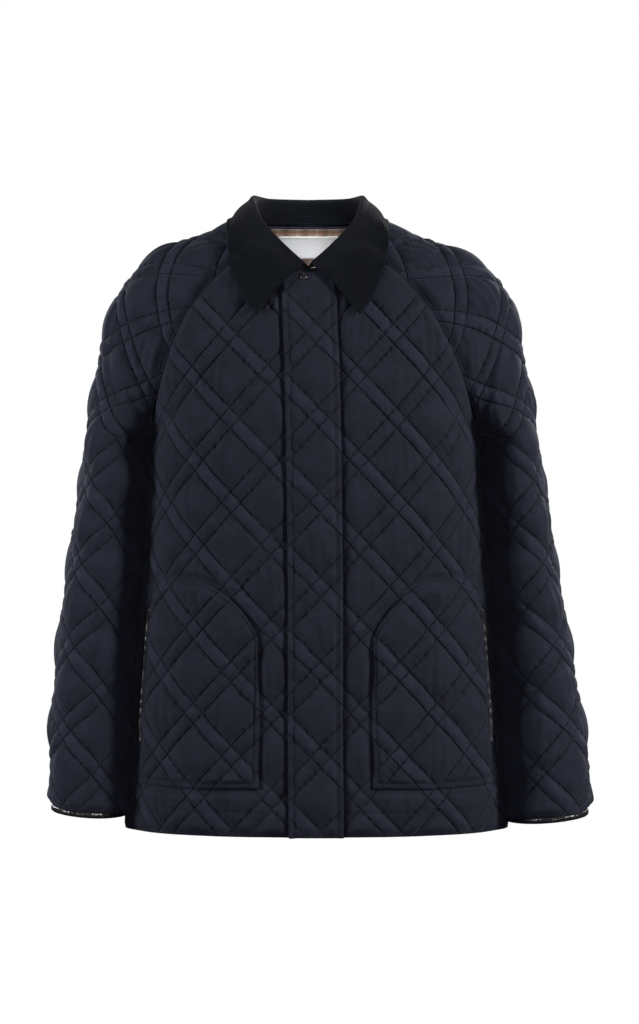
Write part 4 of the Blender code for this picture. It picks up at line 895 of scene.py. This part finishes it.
def rib_look(looks):
    """Fine dark rib: wales along the collar with loops across them, painted shade between the wales and painted
    highlight on their crests.
    """
    mat, tree = blank("collar_rib")
    uv = flat_map(tree)
    along, down, _ = node(tree, "ShaderNodeSeparateXYZ", Vector=uv).outputs
    wander = node(tree, "ShaderNodeTexNoise", Vector=uv, Scale=55.0, Detail=2.0).outputs[0]
    wale = waves(tree, maths(tree, "MULTIPLY_ADD", wander, 0.0012, down), RIB_PITCH)
    ridge = maths(tree, "MULTIPLY_ADD", wale, 0.5, 0.5)
    height = maths(tree, "MULTIPLY_ADD", waves(tree, along, RIB_LOOP), 0.10, ridge)
    # Painted shade and highlight: the colour follows the wale height, dark between the wales and light on their
    # crests.
    surface(tree, mix(tree, ridge, times(looks.rib, 0.12), times(looks.rib, 1.5)), height, 0.9, 0.0009,
            Roughness=0.90, Sheen_Weight=0.03, Specular_IOR_Level=0.12)
    return mat


def leather_look(looks):
    """Glossy black leather with a fine grain, lighter where its crease noise is high."""
    mat, tree = blank("edge_leather")
    where = on_piece(tree)
    pores = node(tree, "ShaderNodeTexVoronoi", {"feature": "DISTANCE_TO_EDGE"}, Vector=where,
                 Scale=1100.0).outputs[0]
    creases = node(tree, "ShaderNodeTexNoise", Vector=where, Scale=160.0, Detail=5.0).outputs[0]
    height = maths(tree, "MULTIPLY_ADD", maths(tree, "MINIMUM", pores, 0.15), 1.2, creases)
    surface(tree, mix(tree, creases, times(looks.leather, 0.6), times(looks.leather, 2.6)), height, 0.3,
            0.00025, Roughness=maths(tree, "MULTIPLY_ADD", creases, 0.25, 0.20), Coat_Weight=0.35,
            Coat_Roughness=0.18)
    return mat


def lining_look():
    """Brown and grey brushed check: wide and narrow stripes crossing, over a twill."""
    mat, tree = blank("check_lining")
    uv = flat_map(tree)
    split = node(tree, "ShaderNodeSeparateXYZ", Vector=uv)
    grain = node(tree, "ShaderNodeTexNoise", Vector=uv, Scale=900.0, Detail=4.0, Roughness=0.7).outputs[0]
    colour = mix(tree, grain, times(CHECK_GROUND, 0.6), times(CHECK_GROUND, 1.6))
    for axis in (0, 1):
        for start, wide, stripe, strength in CHECK_STRIPES:
            t = maths(tree, "ADD", split.outputs[axis], start + 10 * CHECK_PITCH)
            t = maths(tree, "FRACT", maths(tree, "DIVIDE", t, CHECK_PITCH))
            on = maths(tree, "MULTIPLY", maths(tree, "LESS_THAN", t, wide / CHECK_PITCH), strength)
            on = maths(tree, "MULTIPLY", on, maths(tree, "MULTIPLY_ADD", grain, 0.9, 0.45))
            colour = mix(tree, on, colour, stripe)
    surface(tree, colour, grain, 0.5, 0.0004, Roughness=0.9, Sheen_Weight=0.3)
    return mat


def label_look(looks):
    """Bare white satin: long floats with a silky gloss."""
    mat, tree = blank("label_satin")
    across, down, _ = node(tree, "ShaderNodeSeparateXYZ", Vector=flat_map(tree)).outputs
    height = maths(tree, "MULTIPLY_ADD", waves(tree, across, 0.0009), 0.3, waves(tree, down, 0.0006))
    shade = maths(tree, "MULTIPLY_ADD", height, 0.10, 0.85)
    surface(tree, mix(tree, shade, times(looks.label, 0.8), looks.label), height, 0.3, 0.0002,
            Roughness=0.42, Sheen_Weight=0.2)
    return mat


def metal_look():
    """Dark scratched metal."""
    mat, tree = blank("stud_metal")
    scratch = node(tree, "ShaderNodeTexNoise", Vector=on_piece(tree), Scale=1500.0, Detail=4.0).outputs[0]
    surface(tree, mix(tree, scratch, (0.05, 0.05, 0.055), (0.11, 0.11, 0.12)), Metallic=1.0,
            Roughness=maths(tree, "MULTIPLY_ADD", scratch, 0.25, 0.15))
    return mat


class Looks:
    """Every finish of the jacket, made once from the colours of the panel."""

    def __init__(self, colours):
        for key in ("wool", "rib", "leather", "thread", "label"):
            setattr(self, key, tuple(getattr(colours, key)))
        self.nap, self.thread_run = nap_group(), seam_group()
        self.quilted = wool_look(self, "quilted_flannel")
        self.sleeve = wool_look(self, "sleeve_flannel", 1.18)
        self.plain = wool_look(self, "plain_flannel", 1.0, False)
        self.inside = wool_look(self, "cloth_back", 0.5, False)
        self.ribbed, self.edge = rib_look(self), leather_look(self)
        self.check, self.satin, self.metal = lining_look(), label_look(self), metal_look()
        self.sewing = wool_look(self, "sewing_thread", 1.9, False)


# ---------------------------------------------------------------- stitches
def stitch_tree():
    """Short rounded stitches along a curve, at a named pitch."""
    tree, put, out = group("topstitch_run", "GeometryNodeTree",
                           [("Geometry", "Geometry", None), ("Pitch", "Float", 0.003),
                            ("Length", "Float", 0.0021), ("Thread", "Float", 0.0004),
                            ("Material", "Material", None)], [("Geometry", "Geometry")])
    given = put.outputs
    spots = node(tree, "GeometryNodeCurveToPoints", {"mode": "LENGTH"}, Curve=given["Geometry"],
                 Length=given["Pitch"]).outputs
    bead = node(tree, "GeometryNodeMeshUVSphere", Segments=5, Rings=3, Radius=1.0).outputs["Mesh"]
    size = node(tree, "ShaderNodeCombineXYZ", i0=given["Thread"], i1=given["Thread"],
                i2=maths(tree, "MULTIPLY", given["Length"], 0.5)).outputs[0]
    shape = node(tree, "GeometryNodeTransform", Geometry=bead, Scale=size).outputs["Geometry"]
    copies = node(tree, "GeometryNodeInstanceOnPoints", Points=spots["Points"], Instance=shape,
                  Rotation=spots["Rotation"]).outputs["Instances"]
    real = node(tree, "GeometryNodeRealizeInstances", Geometry=copies).outputs["Geometry"]
    paint = node(tree, "GeometryNodeSetMaterial", Geometry=real, Material=given["Material"])
    tree.links.new(paint.outputs["Geometry"], out.inputs["Geometry"])
    return tree


def sew(name, runs, look, pitch, length, thread):
    """Topstitching along lists of points, as one plain mesh."""
    curve = bpy.data.curves.new(name + "_run", "CURVE")
    curve.dimensions = "3D"
    for run in runs:
        spline = curve.splines.new("POLY")
        spline.points.add(len(run) - 1)
        spline.points.foreach_set("co", np.column_stack([run, np.ones(len(run))]).astype(np.float32).ravel())
    path = bpy.data.objects.new(name + "_run", curve)
    bpy.context.scene.collection.objects.link(path)
    tree = stitch_tree()
    modifier = path.modifiers.new("stitches", "NODES")
    modifier.node_group = tree
    values = {"Pitch": pitch, "Length": length, "Thread": thread, "Material": look}
    for item in tree.interface.items_tree:
        if item.in_out == "INPUT" and item.name in values:
            modifier[item.identifier] = values[item.name]
    shown = path.evaluated_get(bpy.context.evaluated_depsgraph_get())
    mesh = bpy.data.meshes.new_from_object(shown)
    bpy.data.objects.remove(path)
    mesh.name = name
    mesh.shade_smooth()
    obj = bpy.data.objects.new(name, mesh)
    bpy.context.scene.collection.objects.link(obj)
    return obj


# ---------------------------------------------------------------- settings and operators
def length_property(name, description, value, low, high):
    return bpy.props.FloatProperty(name=name, description=description, default=value, min=low, max=high,
                                   unit="LENGTH")


class JacketSizes(bpy.types.PropertyGroup):
    """Sizes of the cloth and its sewing."""
    thick: length_property("Cloth", "Thickness of the quilted cloth", 0.0027, 0.001, 0.004)
    pitch: length_property("Stitch pitch", "From one topstitch to the next", 0.0034, 0.002, 0.006)
    length: length_property("Stitch length", "Thread that shows in one stitch", 0.0025, 0.001, 0.005)
    thread: length_property("Thread", "Half the thickness of the thread", 0.00042, 0.0001, 0.001)
    hem: length_property("Hem", "Height of the hem's stitching above its edge", 0.028, 0.005, 0.05)


def colour_property(name, description, value):
    return bpy.props.FloatVectorProperty(name=name, description=description, subtype="COLOR", size=3,
                                         min=0.0, max=1.0, default=value)


class JacketColours(bpy.types.PropertyGroup):
    """Colours of the finishes, in linear values."""
    wool: colour_property("Wool", "Navy flannel", (0.0120, 0.0134, 0.0245))
    rib: colour_property("Rib", "Ribbed collar", (0.0046, 0.0060, 0.0105))
    leather: colour_property("Leather", "Pocket and cuff edges", (0.006, 0.006, 0.008))
    thread: colour_property("Thread", "Quilting thread", (0.030, 0.033, 0.046))
    label: colour_property("Label", "Bare satin label", (0.93, 0.94, 0.96))


MADE = []                                                # jacket and finishes, while the operators run


def shared():
    """The jacket's sheets, finishes and sizes; the first operator that needs them makes them."""
    scene = bpy.context.scene
    if not MADE:
        MADE.extend([Jacket(), Looks(scene.jacket_colours)])
    return (*MADE, scene.jacket_sizes)


def near_body_ease(points):
    """Less puff where the body and the sleeves press on each other."""
    start = 0.02 + 0.035 * np.exp(-((points[..., 2] + 0.215) / 0.045) ** 2)
    return soft_step((np.abs(points[..., 1]) - start) / 0.05)


def swell(base, share, high):
    """Fullness that brings body and sleeve together below the armpits."""
    return high * share * soft_step((SWELL_TOP - base[..., 2]) / SWELL_FADE)


def side_fullness(base, flat):
    """The body's sides swell to meet the sleeves."""
    side = soft_step((np.abs(base[..., 0]) - 0.180) / 0.025) * soft_step((0.05 - np.abs(base[..., 1])) / 0.03)
    return swell(base, side, BODY_SWELL)


def raise_panel(sheet, flat, quilt, folds, ease, seed, low=0.0, rim=0.0011, rim_wide=0.005, sewn_v=None,
                press=None):
    """Outer points and maps of a quilted panel; sewn_v is a row of topstitching."""
    base, depth = spread(sheet, flat), rim_depth(flat)
    rise, lattice = quilted(quilt, flat, seed)
    rise = rise * soft_step(depth / 0.012) * ease(base, flat)
    rise += fold_height(flat, folds) * soft_step(depth / 0.02)
    rise += 0.0005 * ripple(flat[..., 0] * 2, flat[..., 1] * 2, seed + 3) * soft_step(depth / 0.02)
    rise -= rim * (1 - soft_step(depth / rim_wide))
    if sewn_v is not None:
        rise -= ridge_at(flat[..., 1] - sewn_v, 0.0011, 0.0016)
    if press is not None:
        rise += press(base, flat)
    return base + facing(sheet, flat) * (low + rise)[..., None], [("cloth", flat), ("lattice", lattice)]


def side_lines(sign, inner, outer, top, low):
    """The four lines of a patch in the order that keeps its outside out, for either side."""
    if sign > 0:
        return inner, outer, top, low
    return outer, inner, top[::-1], low[::-1]


def ridge_at(away, high, wide):
    """A soft ridge along the line that the distances are measured from."""
    return high * np.exp(-(away / wide) ** 2)


class JACKET_OT_fronts(bpy.types.Operator):
    """Both quilted fronts, flat under the pockets and the flap"""
    bl_idname = "jacket.fronts"
    bl_label = "Fronts"

    def execute(self, context):
        jacket, looks, sizes = shared()
        for side, sign, seed in (("right", -1.0, 1.0), ("left", 1.0, 2.0)):
            flat = front_body(jacket, side)
            lines = pocket_lines(jacket.front, sign)
            shape = np.concatenate([lines["inner"][:-1], lines["low"][:-1], lines["outer"][::-1][:-1],
                                    lines["top"][::-1][:-1]])

            def ease(base, flat, side=side, shape=shape):
                away = -edge_distance(flat.reshape(-1, 2), shape).reshape(flat.shape[:2])
                calm = soft_step((away - 0.003) / 0.008)
                if side == "right":
                    calm = calm * soft_step((-flat[..., 0] - PLACKET_HALF - 0.002) / 0.006)
                return near_body_ease(base) * calm

            points, maps = raise_panel(jacket.front, flat, jacket.quilts[side], FRONT_FOLDS, ease, seed,
                                       sewn_v=-HEM_Z - sizes.hem, press=side_fullness)
            jacket.skin(f"front_{side}", points)
            make_piece(f"front_{side}_cloth", f"front_{side}", points, sizes.thick,
                       [looks.quilted, looks.inside], maps)
            end = abs(on_front(jacket.front, HEM_Z + sizes.hem, sign * 88.0)[0])
            jacket.stitch(f"front_{side}", jacket.front,
                          [(sign * u, -HEM_Z - sizes.hem) for u in np.linspace(0.036, end, 60)])
        return {"FINISHED"}


class JACKET_OT_back(bpy.types.Operator):
    """Quilted back"""
    bl_idname = "jacket.back"
    bl_label = "Back"

    def execute(self, context):
        jacket, looks, sizes = shared()
        sheet = jacket.back
        left, right = ([on_back(sheet, *row[3:]) for row in seam_line(BACK_SEAM, sign, True)]
                       + [on_back(sheet, z, sign * 90.0) for z in np.linspace(ARMPIT_Z, HEM_Z, 30)[1:]]
                       for sign in (1.0, -1.0))
        if left[10][0] > right[10][0]:
            left, right = right, left
        flat = between(left, right, FINE_BACK)
        (start, low), (end, _) = flat[-1, 0], flat[-1, -1]
        low -= sizes.hem
        points, maps = raise_panel(sheet, flat, Quilt(0.0, 0.285), BACK_FOLDS,
                                   lambda base, flat: near_body_ease(base), 5.0, sewn_v=low,
                                   press=side_fullness)
        jacket.skin("back", points)
        make_piece("back_cloth", "back", points, sizes.thick, [looks.quilted, looks.inside], maps)
        jacket.stitch("back", sheet, [(u, low) for u in np.linspace(start + 0.004, end - 0.004, 110)])
        return {"FINISHED"}


def sleeve_quilt(jacket, side):
    """Diamonds of a sleeve; one crossing is measured in the photo."""
    sheet = jacket.sleeves[side]
    start = float(np.interp(0.344, -sheet.rows[:, 32, 2], sheet.v))
    return Quilt(-0.098 if side == "left" else 0.098, start)


class JACKET_OT_sleeves(bpy.types.Operator):
    """Raglan sleeves with their topstitched seams"""
    bl_idname = "jacket.sleeves"
    bl_label = "Sleeves"

    def execute(self, context):
        jacket, looks, sizes = shared()
        for side, forward, seed in (("right", 1.0, 8.0), ("left", -1.0, 9.0)):
            sheet = jacket.sleeves[side]
            end = sheet.v[-1] - BINDING_DEEP
            v = np.linspace(0.0, end, int(end / FINE))
            low, high = (np.interp(v, sheet.v, sheet.u[:, edge]) for edge in (0, -1))
            s = np.linspace(0, 1, int((high - low).max() / FINE))
            flat = np.stack([low[:, None] * (1 - s) + high[:, None] * s,
                             np.repeat(v[:, None], len(s), axis=1)], axis=-1)
            folds = [dict(row, u1=forward * row["u1"], u2=forward * row["u2"]) for row in SLEEVE_FOLDS[side]]
            aside = np.abs(flat[..., 0]) / np.where(flat[..., 0] < 0, -low[:, None], high[:, None])

            def ease(base, flat, sheet=sheet, aside=aside):
                lower = soft_step((flat[..., 1] - sheet.v[SEAM_ROWS] + 0.12) / 0.10)
                return 1.0 - lower * soft_step((aside - 0.62) / 0.25) * 0.85

            def press(base, flat, aside=aside):
                return swell(base, soft_step((aside - 0.70) / 0.22), SLEEVE_SWELL)

            points, maps = raise_panel(sheet, flat, sleeve_quilt(jacket, side), folds, ease, seed,
                                       press=press)
            jacket.skin(f"sleeve_{side}", points)
            make_piece(f"sleeve_{side}_cloth", f"sleeve_{side}", points, sizes.thick,
                       [looks.sleeve, looks.inside], maps)
            top = sheet.v[1:SEAM_ROWS - 1]
            lines = [[(float(np.interp(x, sheet.v, sheet.u[:, edge])) + inset, x) for x in top]
                     for edge, inset in ((0, 0.0055), (-1, -0.0055))]
            lines.append([(u, end - 0.004) for u in np.linspace(low[-1] + 0.004, high[-1] - 0.004, 60)])
            for line in lines:
                jacket.stitch(f"sleeve_{side}", sheet, line)
        return {"FINISHED"}


class JACKET_OT_flap(bpy.types.Operator):
    """Storm flap over the front opening, with its turned and stitched edges"""
    bl_idname = "jacket.flap"
    bl_label = "Storm flap"

    def execute(self, context):
        jacket, looks, sizes = shared()
        half, hem = PLACKET_HALF, -HEM_Z
        flat = between([(-half, PLACKET_TOP), (-half, hem)], [(half, PLACKET_TOP), (half, hem)], FINE * 0.8)
        u = flat[..., 0]
        inset = half - np.abs(u)

        def ease(base, flat):
            return soft_step((inset - 0.0045) / 0.008) * soft_step((flat[..., 1] - 0.070) / 0.02)

        points, maps = raise_panel(jacket.front, flat, jacket.quilts["left"], (), ease, 4.0, LAY + WALL)
        lift = 0.0022 * soft_step((-u - half + 0.012) / 0.012) * (1 + 0.5 * ripple(u * 3, flat[..., 1] * 3, 2))
        rise = ridge_at(inset - 0.0032, 0.0011, 0.0024) + lift - ridge_at(inset - FLAP_SEAM, 0.0007, 0.0013)
        points = points + facing(jacket.front, flat) * rise[..., None]
        jacket.skin("placket", points)
        make_piece("storm_flap_cloth", "placket", points, 0.0030, [looks.quilted, looks.plain], maps,
                   rounded=0.0010)
        lines = [[(side * (half - FLAP_SEAM), v) for v in np.linspace(PLACKET_TOP + 0.003, hem - 0.002, 90)]
                 for side in (-1.0, 1.0)]
        lines += [[(u, PLACKET_TOP + 0.018) for u in np.linspace(-0.022, 0.022, 8)],
                  [(u, hem - sizes.hem) for u in np.linspace(-half + 0.002, half - 0.002, 10)]]
        for line in lines:
            jacket.stitch("placket", jacket.front, line)
        return {"FINISHED"}


class JACKET_OT_pockets(bpy.types.Operator):
    """Curved patch pockets and their leather openings"""
    bl_idname = "jacket.pockets"
    bl_label = "Pockets"

    def execute(self, context):
        jacket, looks, _ = shared()
        front = jacket.front
        for side, sign, seed in (("right", -1.0, 1.0), ("left", 1.0, 2.0)):
            lines = pocket_lines(front, sign)
            flat = patch(*side_lines(sign, lines["inner"], lines["outer"], lines["top"], lines["low"]),
                         FINE * 0.8)
            depth = rim_depth(flat)

            def ease(base, flat, depth=depth):
                return near_body_ease(base) * soft_step((depth - 0.003) / 0.008)

            points, maps = raise_panel(front, flat, jacket.quilts[side], FRONT_FOLDS, ease, seed,
                                       LAY + 0.0028, 0.0008, 0.0025)
            rise = ridge_at(depth - 0.0030, 0.0009, 0.0022) - ridge_at(depth - 0.0060, 0.0007, 0.0013)
            points = points + facing(front, flat) * rise[..., None]
            jacket.skin(f"pocket_{side}", points)
            make_piece(f"pocket_{side}_cloth", f"pocket_{side}", points, 0.0026,
                       [looks.quilted, looks.plain], maps, rounded=0.0009)
            inset = max(2, int(round(0.006 / (FINE * 0.8))))
            for run in (flat[inset, inset:-inset], flat[-inset, inset:-inset],
                        flat[inset:-inset, inset], flat[inset:-inset, -inset]):
                jacket.stitch(f"pocket_{side}", front, run[::6])
            self.bind(front, looks, side, sign, lines["outer"])
        return {"FINISHED"}

    def bind(self, front, looks, side, sign, edge):
        """Leather rolled along the pocket's open edge."""
        run = np.array([p for p in spaced(edge, 60) if -BINDING_TOP <= p[1] <= -BINDING_LOW])
        t = np.linspace(0, 1, len(run))
        wide = BINDING_WIDE * np.minimum(1.0, 0.35 + 6 * np.minimum(t, 1 - t))
        near = run + np.array([-sign * 0.0012, 0.0])
        far = run + np.stack([sign * wide, np.zeros(len(run))], axis=1)
        far[:, 0] = sign * np.minimum(np.abs(far[:, 0]), abs(on_front(front, -0.6, sign * 89.5)[0]))
        strip = between(*((near, far) if sign > 0 else (far, near)), 0.0011)
        across = np.linspace(0, 1, strip.shape[1])[None]
        rise = LAY + 0.0016 + 0.0030 * np.sqrt(np.clip(1 - (2 * across - 1) ** 2, 0, 1))
        rise = rise + 0.00025 * np.sin(strip[..., 1] * 420 + 2.0 * np.sin(strip[..., 1] * 90))
        body = spread(front, strip) + facing(front, strip) * rise[..., None]
        make_piece(f"pocket_edge_{side}_leather", f"pocket_binding_{side}", body, 0.0014,
                   [looks.edge, looks.edge], [("cloth", strip)], 0.0004)


class JACKET_OT_cuffs(bpy.types.Operator):
    """Leather rolled over the sleeve ends"""
    bl_idname = "jacket.cuffs"
    bl_label = "Cuff edges"

    def execute(self, context):
        jacket, looks, _ = shared()
        n, m = 16, 240
        s = np.linspace(0, 1, m + 1)[:-1]
        wave = 0.00022 * np.sin(s * 300 + 3 * np.sin(s * 70))
        for side in ("right", "left"):
            sheet = jacket.sleeves[side]
            end = sheet.v[-1]
            rings = []
            for k in range(n):
                a = 2 * np.pi * k / n
                v = end - BINDING_DEEP - 0.0012 + (1 - math.cos(a)) / 2 * (BINDING_DEEP + 0.0010)
                height = -WALL / 2 + math.copysign(abs(math.sin(a)) ** 0.6, math.sin(a)) * 0.0027
                low, high = (float(np.interp(v, sheet.v, sheet.u[:, c])) for c in (0, -1))
                flat = np.stack([low + (high - low) * s, np.full_like(s, v)], axis=-1)
                inner = np.clip(flat, (low + 0.004, 0), (high - 0.004, 9))
                out = facing(sheet, np.minimum(inner[None], (9, end - 0.004)))[0]
                rings.append(spread(sheet, flat[None])[0] + out * (height + wave)[:, None])
            faces = [[k * m + j, ((k + 1) % n) * m + j, ((k + 1) % n) * m + (j + 1) % m, k * m + (j + 1) % m]
                     for k in range(n) for j in range(m)]
            obj = finish_mesh(f"cuff_edge_{side}_leather", np.concatenate(rings), faces, [looks.edge])
            turn_out(obj)
            declare(obj, f"cuff_binding_{side}")
        return {"FINISHED"}


def turn_out(obj):
    """Faces of a closed mesh point outwards."""
    mesh = bmesh.new()
    mesh.from_mesh(obj.data)
    bmesh.ops.recalc_face_normals(mesh, faces=mesh.faces)
    mesh.to_mesh(obj.data)
    mesh.free()
    obj.data.shade_smooth()


class JACKET_OT_neck_inside(bpy.types.Operator):
    """Check lining inside the back neck, and the bare label on it"""
    bl_idname = "jacket.neck_inside"
    bl_label = "Neck lining and label"

    def execute(self, context):
        jacket, looks, _ = shared()
        top = on_back(jacket.back, BACK_NECK_Z, 0.0)[1]
        inside = WALL + LAY + LINING_WALL
        for name, half, upper, deep, low, thick, look, slot, solid in (
                ("neck_lining_cloth", LINING_HALF, top + 0.0012, LINING_DEEP, inside, 0.0009, looks.check,
                 "lining", "neck_lining"),
                ("neck_label_satin", LABEL_HALF, top + LABEL_TOP, LABEL_DEEP, inside + 0.0004 + LABEL_WALL,
                 0.0006, looks.satin, "label", "neck_label")):
            left, right = ([(side * half, upper), (side * half * 0.96, upper + deep)] for side in (-1, 1))
            flat = between(left, right, 0.0018)
            depth = rim_depth(flat)
            soft = 0.0005 * ripple(flat[..., 0] * 3, flat[..., 1] * 3, 6.0) * soft_step(depth / 0.01)
            rise = low + 0.0002 + np.maximum(soft, 0) + ridge_at(depth - 0.0015, 0.00035, 0.001)
            points = (spread(jacket.back, flat) - facing(jacket.back, flat) * rise[..., None])[:, ::-1]
            make_piece(name, solid, points, thick, [look, look], [("cloth", flat[:, ::-1])],
                       rounded=0.0002)
        return {"FINISHED"}


class JACKET_OT_collar(bpy.types.Operator):
    """Ribbed fall collar on its stand"""
    bl_idname = "jacket.collar"
    bl_label = "Collar"

    def execute(self, context):
        jacket, looks, _ = shared()
        stand, fall = 9, 20
        grid = collar_rows(neck_line(jacket.front, jacket.back, jacket.sleeves), 61,
                           dict(stand=stand, fall=fall))
        trees = [tree for name, tree in jacket.skins.items() if not name.startswith("pocket")]
        for row in grid:
            row[stand + 1:] = clear_of(row[stand + 1:], trees, LAY + COLLAR_WALL + 0.0006)
        for _ in range(2):
            calm = grid.copy()
            calm[1:-1] = (grid[:-2] + 2 * grid[1:-1] + grid[2:]) / 4
            grid[:, stand + 2:] = calm[:, stand + 2:]
        grid = grid.transpose(1, 0, 2)[::-1]
        step = np.linalg.norm(np.diff(grid, axis=0), axis=2)
        across = np.concatenate([np.zeros((1, grid.shape[1])), np.cumsum(step, axis=0)])
        step = np.linalg.norm(np.diff(grid[-1], axis=0), axis=1)
        along = np.concatenate([[0.0], np.cumsum(step)])
        uv = np.stack([np.repeat(along[None], grid.shape[0], 0), across], axis=-1)
        if grid_normals(grid)[fall // 2, grid.shape[1] // 2][1] < 0:
            grid, uv = grid[:, ::-1], uv[:, ::-1]
        obj = cloth_piece("collar_rib", grid, grid_normals(grid), COLLAR_WALL,
                          [looks.ribbed, looks.ribbed], [("cloth", uv)], rounded=0.0009)
        smooth = obj.modifiers.new("smooth", "SUBSURF")
        smooth.levels = smooth.render_levels = 2
        bpy.context.view_layer.update()
        fine = bpy.data.meshes.new_from_object(obj.evaluated_get(bpy.context.evaluated_depsgraph_get()))
        obj.modifiers.clear()
        obj.data = fine
        fine.shade_smooth()
        declare(obj, "collar")
        return {"FINISHED"}


class JACKET_OT_stud(bpy.types.Operator):
    """Domed press stud at the top of the flap"""
    bl_idname = "jacket.stud"
    bl_label = "Press stud"

    def execute(self, context):
        jacket, looks, _ = shared()
        spot = np.array([[[-0.006, STUD_V]]])
        out = facing(jacket.front, spot)[0, 0]
        middle = spread(jacket.front, spot)[0, 0] + out * (LAY + WALL + 0.0003)
        turn = Vector(out).to_track_quat("Z", "Y").to_matrix()
        n = 32
        verts, rings = [], []
        for radius, height in STUD_PROFILE:
            count = 1 if radius == 0 else n
            rings.append(list(range(len(verts), len(verts) + count)))
            for k in range(count):
                a = 2 * math.pi * k / n
                verts.append(np.array(turn @ Vector((radius * math.cos(a), radius * math.sin(a), height)))
                             + middle)
        faces = []
        for low, high in zip(rings[:-1], rings[1:]):
            for k in range(n):
                j = k + 1
                face = [low[k % len(low)], high[k % len(high)], high[j % len(high)], low[j % len(low)]]
                faces.append(list(dict.fromkeys(face)))
        obj = finish_mesh("press_stud_cap", verts, faces, [looks.metal])
        turn_out(obj)
        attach(obj, "root")
        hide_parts("press_stud")
        return {"FINISHED"}


class JACKET_OT_stitching(bpy.types.Operator):
    """Topstitching of the flap, pockets, hem, cuffs and raglan seams"""
    bl_idname = "jacket.stitching"
    bl_label = "Topstitching"

    def execute(self, context):
        jacket, looks, sizes = shared()
        obj = sew("topstitching", jacket.runs, looks.sewing, sizes.pitch, sizes.length, sizes.thread)
        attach(obj, "root")
        return {"FINISHED"}


class JACKET_OT_stage(bpy.types.Operator):
    """Pale floor, soft light and the camera"""
    bl_idname = "jacket.stage"
    bl_label = "Stage"

    def execute(self, context):
        context.scene.view_settings.view_transform = "Standard"
        self.room(context.scene)
        self.floor()
        for name, place, size, power, tint in LIGHTS:
            lamp = bpy.data.lights.new(name, "AREA")
            lamp.size, lamp.energy, lamp.color = size, power, tint
            self.aimed(name, lamp, place, (0.0, 0.0, -0.33))
        snoot = bpy.data.lights.new("neck_light", "SPOT")
        snoot.energy, snoot.spot_size, snoot.spot_blend, snoot.shadow_soft_size = 360.0, 0.050, 0.9, 0.05
        self.aimed("neck_light", snoot, (-0.007, -2.2, 0.62), (-0.007, 0.06, 0.0))
        lens = bpy.data.cameras.new("photo_camera")
        lens.sensor_fit = "VERTICAL"
        lens.sensor_height = 24.0
        lens.lens = 24.0 * CAMERA_FAR / (1024 * PIXEL)
        eye = bpy.data.objects.new("photo_camera", lens)
        context.scene.collection.objects.link(eye)
        eye.location = (0.0065, -CAMERA_FAR, -0.3332)
        eye.rotation_euler = (math.pi / 2, 0.0, 0.0)
        context.scene.camera = eye
        return {"FINISHED"}

    def aimed(self, name, lamp, place, goal):
        obj = bpy.data.objects.new(name, lamp)
        bpy.context.scene.collection.objects.link(obj)
        obj.location = place
        obj.rotation_euler = (Vector(goal) - Vector(place)).to_track_quat("-Z", "Y").to_euler()

    def room(self, scene):
        """White to the camera, and a weak fill for the cloth."""
        world = bpy.data.worlds.new("pale_room")
        scene.world = world
        world.use_nodes = True
        tree = world.node_tree
        tree.nodes.clear()
        seen = node(tree, "ShaderNodeBackground", Color=(1, 1, 1, 1), Strength=1.0)
        fill = node(tree, "ShaderNodeBackground", Color=(0.93, 0.96, 1.0, 1), Strength=0.10)
        path = tree.nodes.new("ShaderNodeLightPath")
        both = node(tree, "ShaderNodeMixShader", i0=path.outputs["Is Camera Ray"], i1=fill.outputs[0],
                    i2=seen.outputs[0])
        node(tree, "ShaderNodeOutputWorld", i0=both.outputs[0])

    def floor(self):
        """A floor that the camera sees as white paper and that throws little light back."""
        corners = [(x * FLOOR_REACH, y * FLOOR_REACH, FLOOR_Z) for x, y in ((-1, -1), (1, -1), (1, 1), (-1, 1))]
        floor = finish_mesh("pale_floor", corners, [[0, 1, 2, 3]], [], smooth=False)
        mat, tree = blank("pale_paper")
        grain = node(tree, "ShaderNodeTexNoise", Scale=40.0).outputs[0]
        glance = tree.nodes.new("ShaderNodeLightPath")
        surface(tree, mix(tree, grain, (0.02, 0.02, 0.02), (0.03, 0.03, 0.03)),
                Emission_Color=(1.0, 1.0, 1.0, 1.0), Emission_Strength=glance.outputs["Is Camera Ray"],
                Specular_IOR_Level=0.0)
        floor.data.materials.append(mat)


STEPS = (JACKET_OT_fronts, JACKET_OT_back, JACKET_OT_sleeves, JACKET_OT_flap, JACKET_OT_pockets,
         JACKET_OT_cuffs, JACKET_OT_neck_inside, JACKET_OT_collar, JACKET_OT_stud, JACKET_OT_stitching,
         JACKET_OT_stage)


class JACKET_PT_sidebar(bpy.types.Panel):
    """The jacket's sizes, colours and making steps"""
    bl_idname = "JACKET_PT_sidebar"
    bl_label = "Barn jacket"
    bl_space_type = "VIEW_3D"
    bl_region_type = "UI"
    bl_category = "Jacket"

    def draw(self, context):
        for group_name, kind in (("jacket_sizes", JacketSizes), ("jacket_colours", JacketColours)):
            for key in kind.__annotations__:
                self.layout.prop(getattr(context.scene, group_name), key)
        for step in STEPS:
            self.layout.operator(step.bl_idname)


CLASSES = (JacketSizes, JacketColours, *STEPS, JACKET_PT_sidebar)


def register():
    for kind in CLASSES:
        bpy.utils.register_class(kind)
    bpy.types.Scene.jacket_sizes = bpy.props.PointerProperty(type=JacketSizes)
    bpy.types.Scene.jacket_colours = bpy.props.PointerProperty(type=JacketColours)


def unregister():
    del bpy.types.Scene.jacket_colours
    del bpy.types.Scene.jacket_sizes
    for kind in reversed(CLASSES):
        bpy.utils.unregister_class(kind)


def main():
    register()
    for step in STEPS:
        group_name, action = step.bl_idname.split(".")
        getattr(getattr(bpy.ops, group_name), action)()
    MADE.clear()


if __name__ == "__main__":
    main()
